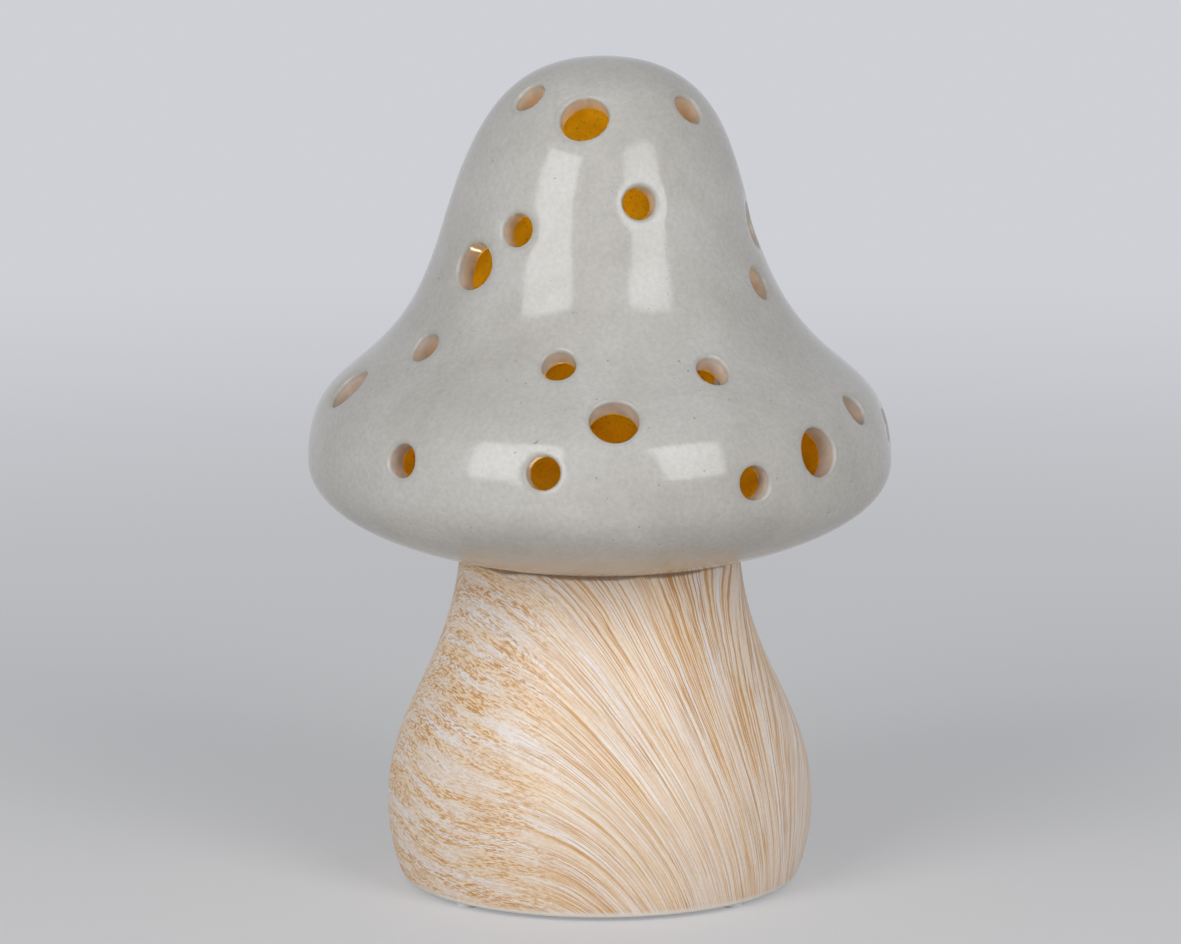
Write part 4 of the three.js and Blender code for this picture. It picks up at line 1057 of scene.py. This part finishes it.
# %% Places that floor, housing and door share
battery_low, battery_high = size_of("battery_1")
BAY_HALF_WIDTH, BAY_HALF_LENGTH, BAY_WALL = 11.3, 24.85, 1.5
BAY_TOP, BAY_CEILING = UNIT + 14.85, UNIT + 13.65
door_low, door_high = size_of("battery_door")
TONGUE_REACH = 1.8
door_back, door_front = door_low[1] + TONGUE_REACH, -(door_low[1] + TONGUE_REACH)
door_screw_low, door_screw_high = size_of("door_screw")
door_screw_y = (door_screw_low[1] + door_screw_high[1]) / 2
screw_names = [f"housing_screw_{k}" for k in (1, 2, 3, 4)]
screw_places = [tuple(sum(size_of(name))[:2] / 2) for name in screw_names]
knob_low, knob_high = size_of("switch_knob")
UNIT_RADIUS, FLANGE_RADIUS = 35.0, size_of("unit_base")[1][0]
TAB_HALF, TONGUE_X, TONGUE_WIDTH, PLATE_HALF, GAP = 4.5, 9.8, 2.2, 12.05, 0.2
HEAD_WELL, SHANK_HOLE = 2.4, 1.3

# %% Unit floor
floor_shell = turn_corners("floor_shell", [
    (0, UNIT + 2, 0), (33.8, UNIT + 2, 0.3), (33.8, UNIT + 5.5, 0.25), (UNIT_RADIUS, UNIT + 5.5, 0.35),
    (UNIT_RADIUS, UNIT + 1.2, 0.15), (FLANGE_RADIUS, UNIT + 1.2, 0.25), (FLANGE_RADIUS, UNIT, 0.4),
    (0, UNIT, 0),
], white_plastic, 144)
bay_outer, below = BAY_HALF_WIDTH + BAY_WALL, UNIT - 1
combine(floor_shell, [
    block(-bay_outer, bay_outer, door_back - 1.4 - BAY_WALL, BAY_HALF_LENGTH + BAY_WALL, UNIT + 1, BAY_TOP),
    rod(3.1, 0, door_screw_y, UNIT + 1, UNIT + 6.6),
    *[rod(3.2, x, y, UNIT + 1, UNIT + 3.5) for x, y in screw_places],
], "UNION")
combine(floor_shell, [
    block(-PLATE_HALF - GAP, PLATE_HALF + GAP, door_back - GAP, door_front + GAP, below, UNIT + 1.8),
    block(-TAB_HALF - GAP, TAB_HALF + GAP, 0, door_high[1] + 2 * GAP, below, UNIT + 1.8),
    block(-BAY_HALF_WIDTH, BAY_HALF_WIDTH, -BAY_HALF_LENGTH, BAY_HALF_LENGTH, UNIT - 0.5, BAY_CEILING),
    block(-BAY_HALF_WIDTH, BAY_HALF_WIDTH, door_back - GAP, -BAY_HALF_LENGTH + 1, UNIT - 0.5, UNIT + 5),
    *[block(x - 1.5, x + 1.5, door_low[1] - 0.8, -BAY_HALF_LENGTH + 1, UNIT + 2, UNIT + 5)
      for x in (-TONGUE_X, TONGUE_X)],
    *[block(x - 2.15, x + 2.15, 23.85, 25.15, BAY_CEILING - 1, BAY_TOP + 1) for x in (-5.6, 5.6)],
    rod(1.5, 0, door_screw_y, below, UNIT + 5.8),
    *[rod(HEAD_WELL, x, y, below, UNIT + 1.5) for x, y in screw_places],
    *[rod(SHANK_HOLE, x, y, below, UNIT + 4.5, sides=24) for x, y in screw_places],
    block(20.4, 23.6, -4.4, 4.4, below, UNIT + 3),
], "DIFFERENCE")


def on_bottom(a, b, reach=FLANGE_RADIUS - 0.7):
    return abs(a[2] - UNIT) < 0.01 and abs(b[2] - UNIT) < 0.01 and math.hypot(a[0], a[1]) < reach


unit_floor = finish_body("unit_floor", floor_shell, white_plastic, on_bottom, 0.16)
dress(unit_floor, "white_plastic", "base", "unit_base")

# %% [markdown]
# The door is a flat plate with a tab for its screw, three finger grooves, and two tongues that hook
# behind the floor's edge and let it swing.

# %% Battery door
plate_top = UNIT + 1.5
door = block(-PLATE_HALF, PLATE_HALF, door_back, door_front, UNIT, plate_top)
tongues = []
for x in (-TONGUE_X, TONGUE_X):
    sides = (x - TONGUE_WIDTH / 2, x + TONGUE_WIDTH / 2)
    tongues.append(block(*sides, door_back + 0.001, door_back + 1.1, UNIT + 0.75, UNIT + 3.4))
    tongues.append(block(*sides, door_low[1], door_back + 0.55, UNIT + 2.3, UNIT + 3.4))
combine(door, [block(-TAB_HALF, TAB_HALF, door_front - 1, door_high[1], UNIT, plate_top), *tongues], "UNION")
combine(door, [
    rod(SHANK_HOLE, 0, door_screw_y, below, UNIT + 3), rod(HEAD_WELL, 0, door_screw_y, below, UNIT + 0.6),
    *[block(-4, 4, door_front - back - 0.8, door_front - back, below, UNIT + 0.5) for back in (2, 4, 6)],
], "DIFFERENCE")
battery_door = finish_body("plastic_battery_door", door, white_plastic, on_bottom, 0.14)
dress(battery_door, "white_plastic", "battery_door", "battery_door")

# %% [markdown]
# ## Housing and LED post
# The housing is a plain lid over the batteries and the board, with bosses that the four screws bite into.
# The post snaps into its roof and carries the LED up to where it lights the cap.

# %% Housing
ROOF_HOLE, HOUSING_INNER, HOUSING_OUTER = 7.7, 32.2, 33.5
(_, _, housing_bottom), (_, _, housing_top) = size_of("unit_housing")
roof = housing_top - 1.5
roof_middle = (ROOF_HOLE, roof + 0.7, 0)
housing = turn_corners("housing_shell", [
    roof_middle, (ROOF_HOLE, housing_top, 0.2), (HOUSING_OUTER, housing_top, 1.3),
    (HOUSING_OUTER, housing_bottom, 0.2), (HOUSING_INNER, housing_bottom, 0.2), (HOUSING_INNER, roof, 0.6),
    (ROOF_HOLE, roof, 0.15), roof_middle,
], white_plastic, 128)
bosses = [rod(2.9, x, y, UNIT + 3.8, roof + 0.75, sides=32) for x, y in screw_places]
bores = [rod(SHANK_HOLE, x, y, UNIT + 2.8, UNIT + 11.5, sides=24) for x, y in screw_places]
combine(housing, bosses, "UNION")
combine(housing, bores, "DIFFERENCE")
unit_housing = finish_body("unit_housing_lid", housing, white_plastic, lambda a, b: False, 0.1)
dress(unit_housing, "white_plastic", "base", "unit_housing")

# %% LED post
(_, _, post_bottom), (flange_radius, _, post_top) = size_of("led_post")
POST, BORE, LEG_HOLE, SPIGOT = 8.0, 6.2, 2.17, 7.4
post_foot = housing_top + 0.3
leg_hole_middle = (LEG_HOLE, post_top - 0.7, 0)
post = turn_corners("led_carrier_post", [
    leg_hole_middle, (LEG_HOLE, post_top, 0.15), (POST, post_top, 0.4), (POST, post_foot + 1.2, 0.35),
    (flange_radius, post_foot + 1.2, 0.3), (flange_radius, post_foot, 0.15), (SPIGOT, post_foot, 0.1),
    (SPIGOT, roof - 0.3, 0), (ROOF_HOLE + 0.3, roof - 0.3, 0.1), (SPIGOT, post_bottom, 0.15),
    (BORE, post_bottom, 0.15), (BORE, post_top - 1.5, 0.4), (LEG_HOLE, post_top - 1.5, 0.1), leg_hole_middle,
], white_plastic, 96)
dress(post, "white_plastic", "base", "led_post")

# %% [markdown]
# ## Screws
# Five slotted pan-head screws hold the unit together. Each kind is turned on the lathe tool, with a
# rounded head and a pointed shank with thread ridges, its slot is cut, and the repeat tool sets it in its
# wells.

# %% Screws
PITCH, SMOOTH_ANGLE = 0.35, math.radians(35)


def dress_screws(name, shank_length, places, body, names, turns=None):
    head_top = 1.2
    tip = head_top + shank_length
    ridge_count = int((shank_length - 1.4) / PITCH)
    ridges = [(1.0 - 0.22 * (k % 2), head_top + 0.5 + PITCH * k, 0) for k in range(ridge_count)]
    screw = turn_corners("screw", [
        (0, tip, 0), (0.35, tip, 0.1), *ridges[::-1], (0.85, head_top + 0.2, 0), (0.95, head_top, 0.05),
        (2.1, head_top, 0.12), (2.1, 0.55, 0.3), (1.75, 0, 0.4), (0, 0, 0),
    ], steel, 48)
    combine(screw, [block(-3, 3, -0.3, 0.3, -1, 0.5)], "DIFFERENCE")
    made = repeat_piece(name, screw, places, steel, turns)
    made.data.set_sharp_from_angle(angle=SMOOTH_ANGLE)
    dress(made, "steel", body, *names)


dress_screws("housing_screws", 9.3, [(x, y, UNIT) for x, y in screw_places], "base", screw_names,
             [0.3, 1.9, 0.8, 2.6])
dress_screws("captive_door_screw", 4.2, [(0, door_screw_y, door_screw_low[2])], "battery_door",
             ["door_screw"])

# %% [markdown]
# ## Batteries
# Two AAA cells lie side by side, turned opposite ways. A printed film covers each can and is shrunk over
# its edges, and leaves the bright steel of both ends bare. How far along the cell a point lies is stored
# on it, so that one finish can place the film, its bands and the bare ends.

# %% Battery finish
jacket = Finish("battery_jacket")
FILM_GREEN, FILM_CREAM = (0.012, 0.075, 0.05), (0.55, 0.53, 0.45)
film = jacket.stored("film")
film_tone = jacket.ramp(jacket.stored("along"), (0.0, FILM_GREEN), (0.62, FILM_CREAM), (0.645, FILM_GREEN),
                        (0.68, FILM_CREAM), (0.74, (0.03, 0.16, 0.11)), kind="CONSTANT")
film_tone = jacket.mix(jacket.mottle(160.0, 3.0, 0, 0.3, 0.4, 0.7), film_tone, 0.02)
tone = jacket.mix(film, jacket.mottle(700.0, 2.0, 0.45, 0.62), film_tone)
jacket.wear(tone, jacket.mottle(420.0, 4.0, 0.2, 0.42, 0.35, 0.7, 0.65), jacket.noise(900.0), 0.00003, 0.4,
            Metallic=jacket.ramp(film, (0.4, 1), (0.6, 0.35)))

# %% Batteries
CELL_LENGTH, CELL_RADIUS = battery_high[1] - battery_low[1], (battery_high[0] - battery_low[0]) / 2
can = CELL_LENGTH - 0.9
cell = turn_corners("cell", [
    (0, CELL_LENGTH, 0), (1.9, CELL_LENGTH, 0.3), (1.9, can - 0.05, 0.1), (3.6, can - 0.05, 0.1),
    (3.9, can - 0.3, 0.1), (4.4, can - 0.3, 0.1), (4.6, can, 0.1), (CELL_RADIUS, can, 0.4),
    (CELL_RADIUS, 0, 0.4), (4.6, 0, 0.15), (4.3, 0.25, 0.1), (0, 0.25, 0),
], jacket, 72)
x, y, z = points_of(cell).T
store(cell, along=z / can, film=np.hypot(x, y) > 4.5)
LAID_DOWN = Matrix.Rotation(-math.pi / 2, 4, "X")
cell.data.transform(LAID_DOWN)
cell.data.transform(Matrix.Translation((0, battery_low[1] * MM, 0)))
cell_height, CELL_X = (battery_low[2] + battery_high[2]) / 2, -(battery_low[0] + battery_high[0]) / 2
batteries = repeat_piece("battery_cells", cell, [(-CELL_X, 0, cell_height), (CELL_X, 0, cell_height)], jacket,
                         [0.0, math.pi])
batteries.data.set_sharp_from_angle(angle=SMOOTH_ANGLE)
dress(batteries, "battery_jacket", "base", "battery_1", "battery_2")

# %% [markdown]
# ## Contacts and springs
# The contact plates are stamped from thin plated strip, so their model shapes stay and only get soft
# edges. The two springs are wound from 0.6 mm wire in three narrowing turns, with the tube tool.

# %% Contacts and springs
for node in ("contact_bridge", "contact_positive", "contact_negative"):
    dress_softened("plated_" + node, node, steel, 0.07, "steel")


def spring_route(side):
    t = np.linspace(0, 1, 73)
    turn_angle, radius = t * 3 * 2 * math.pi, 3.5 - 1.4 * t
    ring_x, along_y, ring_z = radius * np.cos(turn_angle), 0.3 + 2.9 * t - 24.15, radius * np.sin(turn_angle)
    return np.stack([side * ring_x + side * -CELL_X, side * along_y, ring_z + cell_height], axis=1)


springs = run_tube("battery_springs", [spring_route(1), spring_route(-1)], 0.3, steel, 12)
dress(springs, "steel", "base", "battery_spring_1", "battery_spring_2")

# %% [markdown]
# ## Circuit board
# A small green board lies over the battery bay: solder mask over copper tracks, a timer chip that
# switches the light off after some hours, a resistor with its colour bands, and the solder joints of the
# wires.

# %% Board
board = Finish("circuit_board")
flat_place = board.node("ShaderNodeMapping", {"Vector": board.place, "Scale": (1.0, 1.0, 0.0)})
bricks = {"Vector": flat_place, "Scale": 230.0, "Mortar Size": 0.06, "Mortar Smooth": 0.1}
tracks = board.node("ShaderNodeTexBrick", bricks, "Fac")
tone = board.mix(board.mottle(240.0, 3.0, 0, 0.35, 0.4, 0.7),
                 board.mix(tracks, (0.012, 0.11, 0.035), (0.03, 0.2, 0.07)), (0.01, 0.07, 0.025))
board.wear(tone, board.mottle(500.0, 2.0, 0.22, 0.36), tracks, 0.00004, 0.8)
dress_softened("green_board", "circuit_board", board, 0.08, "circuit_board")
dress_softened("timer_chip_body", "timer_chip", black_plastic, 0.12, "black_plastic")
board_top = size_of("circuit_board")[1][2]
leg_route = [(2.3, 0, 1.1), (2.9, 0, 1.1), (3.15, 0, 0.85), (3.2, 0, 0.35), (3.4, 0, 0.15), (3.9, 0, 0.15)]
leg = run_tube("leg", [leg_route], 0.15, steel, 8)
chip_y = sum(size_of("timer_chip"))[1] / 2
leg_places = [(0, chip_y + offset, board_top) for offset in (-1.9, -0.63, 0.63, 1.9)] * 2
dress(repeat_piece("chip_legs", leg, leg_places, steel, [0.0] * 4 + [math.pi] * 4), "steel", "base")

# %% Resistor finish
banded = Finish("resistor_body")
resistor_low, resistor_high = size_of("resistor")
x, y, z = resistor_middle = (resistor_low + resistor_high) / 2
along_body = banded.axis(banded.place, "Y") * (1 / (8 * MM)) + (0.5 - y / 8)
TAN, LEAD_GREY = (0.5, 0.32, 0.15), (0.5, 0.5, 0.48)
RED, BLACK, BROWN, GOLD = (0.35, 0.03, 0.02), (0.02, 0.02, 0.02), (0.3, 0.1, 0.02), (0.5, 0.33, 0.08)
tone = banded.ramp(along_body, (0.0, LEAD_GREY), (0.12, TAN), (0.25, RED), (0.33, TAN), (0.42, BLACK),
                   (0.5, TAN), (0.58, BROWN), (0.66, TAN), (0.75, GOLD), (0.83, TAN), (0.88, LEAD_GREY),
                   kind="CONSTANT")
tone = banded.mix(banded.mottle(600.0, 2.0, 0, 0.25, 0.4, 0.7), tone, (0.2, 0.14, 0.08))
banded.wear(tone, 0.35, banded.noise(900.0), 0.00004, 0.5)

# %% Resistor
def joined(name, *parts):
    """One mesh of several closed shells with the same finish."""
    work = bmesh.new()
    for part in parts:
        work.from_mesh(part.data)
    made = body_from(work, name)
    made.data.materials.append(parts[0].data.materials[0])
    for part in parts:
        bpy.data.objects.remove(part)
    return made


resistor = turn_corners("resistor_shell", [
    (0, 6, 0), (0.85, 6, 0.3), (1.1, 5.4, 0.3), (1.1, 4.5, 0.3), (0.95, 4.1, 0.3), (0.95, 1.9, 0.3),
    (1.1, 1.5, 0.3), (1.1, 0.6, 0.3), (0.85, 0, 0.3), (0, 0, 0),
], banded, 32)
resistor.data.transform(LAID_DOWN)
resistor.data.transform(Matrix.Translation(Vector((x, resistor_low[1], z)) * MM))
LEAD_REACH = 3.9
leads = run_tube("resistor_leads", [
    [(x, y + side * 2.8, z), (x, y + side * 3.5, z), (x, y + side * 3.8, z - 0.15),
     (x, y + side * LEAD_REACH, z - 0.5), (x, y + side * LEAD_REACH, board_top - 0.3)] for side in (-1, 1)
], 0.28, banded, 12)
dress(joined("banded_resistor", resistor, leads), "resistor_body", "base", "resistor")

# %% [markdown]
# ## LED and its frosted dome
# A 5 mm warm white LED stands on the post, with its two legs down to the board. The frosted dome over it
# spreads its light, so the dome itself glows, most where the LED's tip is behind it, and it lights the
# cap from inside.

# %% LED
LED_LIGHT, LENS_GLOW, DOME_GLOW, LENS, LED_LEG = (1.0, 0.78, 0.46), 6.0, 28.0, 2.5, 1.27
led_bottom, led_top = (corner_of[2] for corner_of in size_of("led"))
led_base = post_top + 0.3
clear = Finish("led_lens")
is_lens = calculate("GREATER_THAN", clear.axis(clear.place, "Z"), led_base * MM)
tone = clear.mix(is_lens, 0.5, clear.mottle(500.0, 2.0, (0.85, 0.68, 0.4), (0.95, 0.8, 0.52)))
clear.wear(tone, clear.mottle(300.0, 2.0, 0.08, 0.16), Metallic=1.0 - is_lens, Emission_Color=LED_LIGHT,
           Emission_Strength=is_lens * LENS_GLOW)


def arc(radius, centre, start, stop, steps):
    return [(radius * math.cos(a), centre + radius * math.sin(a), 0) for a in np.linspace(start, stop, steps)]


lens = turn_corners("led_shell", [
    (0, led_top, 0), *arc(LENS, led_top - LENS, math.pi / 2, 0, 13)[1:], (LENS, led_base + 1, 0.1),
    (2.9, led_base + 1, 0.2), (2.9, led_base, 0.15), (0, led_base, 0),
], clear, 48)
leg_routes = [[(x, 0, led_base + 0.4), (x, 0, led_bottom)] for x in (-LED_LEG, LED_LEG)]
led_legs = run_tube("led_legs", leg_routes, 0.3, clear, 12)
dress(joined("warm_led", lens, led_legs), "led_lens", "base", "led")

# %% Frosted dome
DOME, DOME_INSIDE = 7.7, 6.5
dome_bottom, dome_top = (corner_of[2] for corner_of in size_of("diffuser"))
frosted = Finish("frosted_dome")
up = frosted.fade(frosted.axis(frosted.place, "Z"), dome_bottom * MM, dome_top * MM)
glow = frosted.ramp(up, (0.0, 0.15), (0.5, 0.4), (1.0, 1)) * DOME_GLOW
frosted.wear(frosted.mottle(350.0, 3.0, (0.86, 0.78, 0.64), (0.92, 0.85, 0.73)),
             frosted.mottle(800.0, 2.0, 0.5, 0.65), frosted.noise(1200.0), 0.00006, 0.6,
             Emission_Color=LED_LIGHT, Emission_Strength=glow)
spring_line = dome_bottom + 6
dome = turn_corners("frosted_led_dome", [
    *arc(DOME, spring_line, math.pi / 2, 0, 19), (DOME, dome_bottom, 0.25), (DOME_INSIDE, dome_bottom, 0.25),
    *arc(DOME_INSIDE, spring_line, 0, math.pi / 2, 19),
], frosted, 72)
dress(dome, "frosted_dome", "base", "diffuser")

# %% [markdown]
# ## Switch and wires
# The slide switch sits beside the battery bay, and its ribbed knob is reached through the slot in the
# floor. Four short insulated wires join the contacts and the switch to the board.

# %% Switch
dress_softened("switch_case", "switch_body", black_plastic, 0.15, "black_plastic")
dress_softened("ribbed_switch_knob", "switch_knob", black_plastic, 0.07, "black_plastic", "switch_knob")

# %% Wires and solder
WIRE_RADIUS, WIRE_ARCH, SWITCH_PAD = 0.6, 3, 3


def insulation(name, colour):
    made = Finish(name)
    tone = made.mottle(400.0, 3.0, tuple(part * 0.7 for part in colour), colour, 0.35, 0.6)
    made.wear(tone, made.mottle(700.0, 2.0, 0.3, 0.42), made.noise(500.0), 0.00005, 0.5)
    return made


def wire_route(start, finish):
    crest = max(start[2], finish[2]) + WIRE_ARCH
    return bend(start, (*start[:2], crest), (*finish[:2], crest), finish, 32)


insulations = {"wire_red": insulation("wire_red", (0.5, 0.02, 0.015)),
               "wire_black": insulation("wire_black", (0.018, 0.018, 0.02))}
wire_foot, tab_y, pad_y, pad_x, switch_x = board_top + 0.3, 24.5, 16.0, 9.0, (knob_low[0] + knob_high[0]) / 2
switch_top = size_of("switch_body")[1][2] + 0.3
wires = (
    ("wire_positive", "wire_red", (-CELL_X, tab_y, wire_foot), (-CELL_X, pad_y, wire_foot)),
    ("wire_negative", "wire_black", (CELL_X, tab_y, wire_foot), (CELL_X, pad_y, wire_foot)),
    ("wire_switch_1", "wire_red", (switch_x, -SWITCH_PAD, switch_top), (pad_x, -SWITCH_PAD, wire_foot)),
    ("wire_switch_2", "wire_black", (switch_x, SWITCH_PAD, switch_top), (pad_x, SWITCH_PAD, wire_foot)),
)
for node, colour, start, end in wires:
    made = run_tube("insulated_" + node, [wire_route(start, end)], WIRE_RADIUS, insulations[colour])
    dress(made, colour, "base", node)

blob_corners = [(0, 0.55, 0), (0.45, 0.5, 0.2), (0.8, 0.15, 0.2), (0.95, 0, 0), (0, 0, 0)]
blob = turn_corners("blob", blob_corners, steel, 24)
resistor_x, resistor_y, _ = resistor_middle
joints = [(-CELL_X, pad_y), (CELL_X, pad_y),
          (pad_x, -SWITCH_PAD), (pad_x, SWITCH_PAD), (-LED_LEG, 0), (LED_LEG, 0),
          (resistor_x, resistor_y - LEAD_REACH), (resistor_x, resistor_y + LEAD_REACH)]
dress(repeat_piece("solder_joints", blob, [(*place, board_top) for place in joints], steel), "steel", "base")
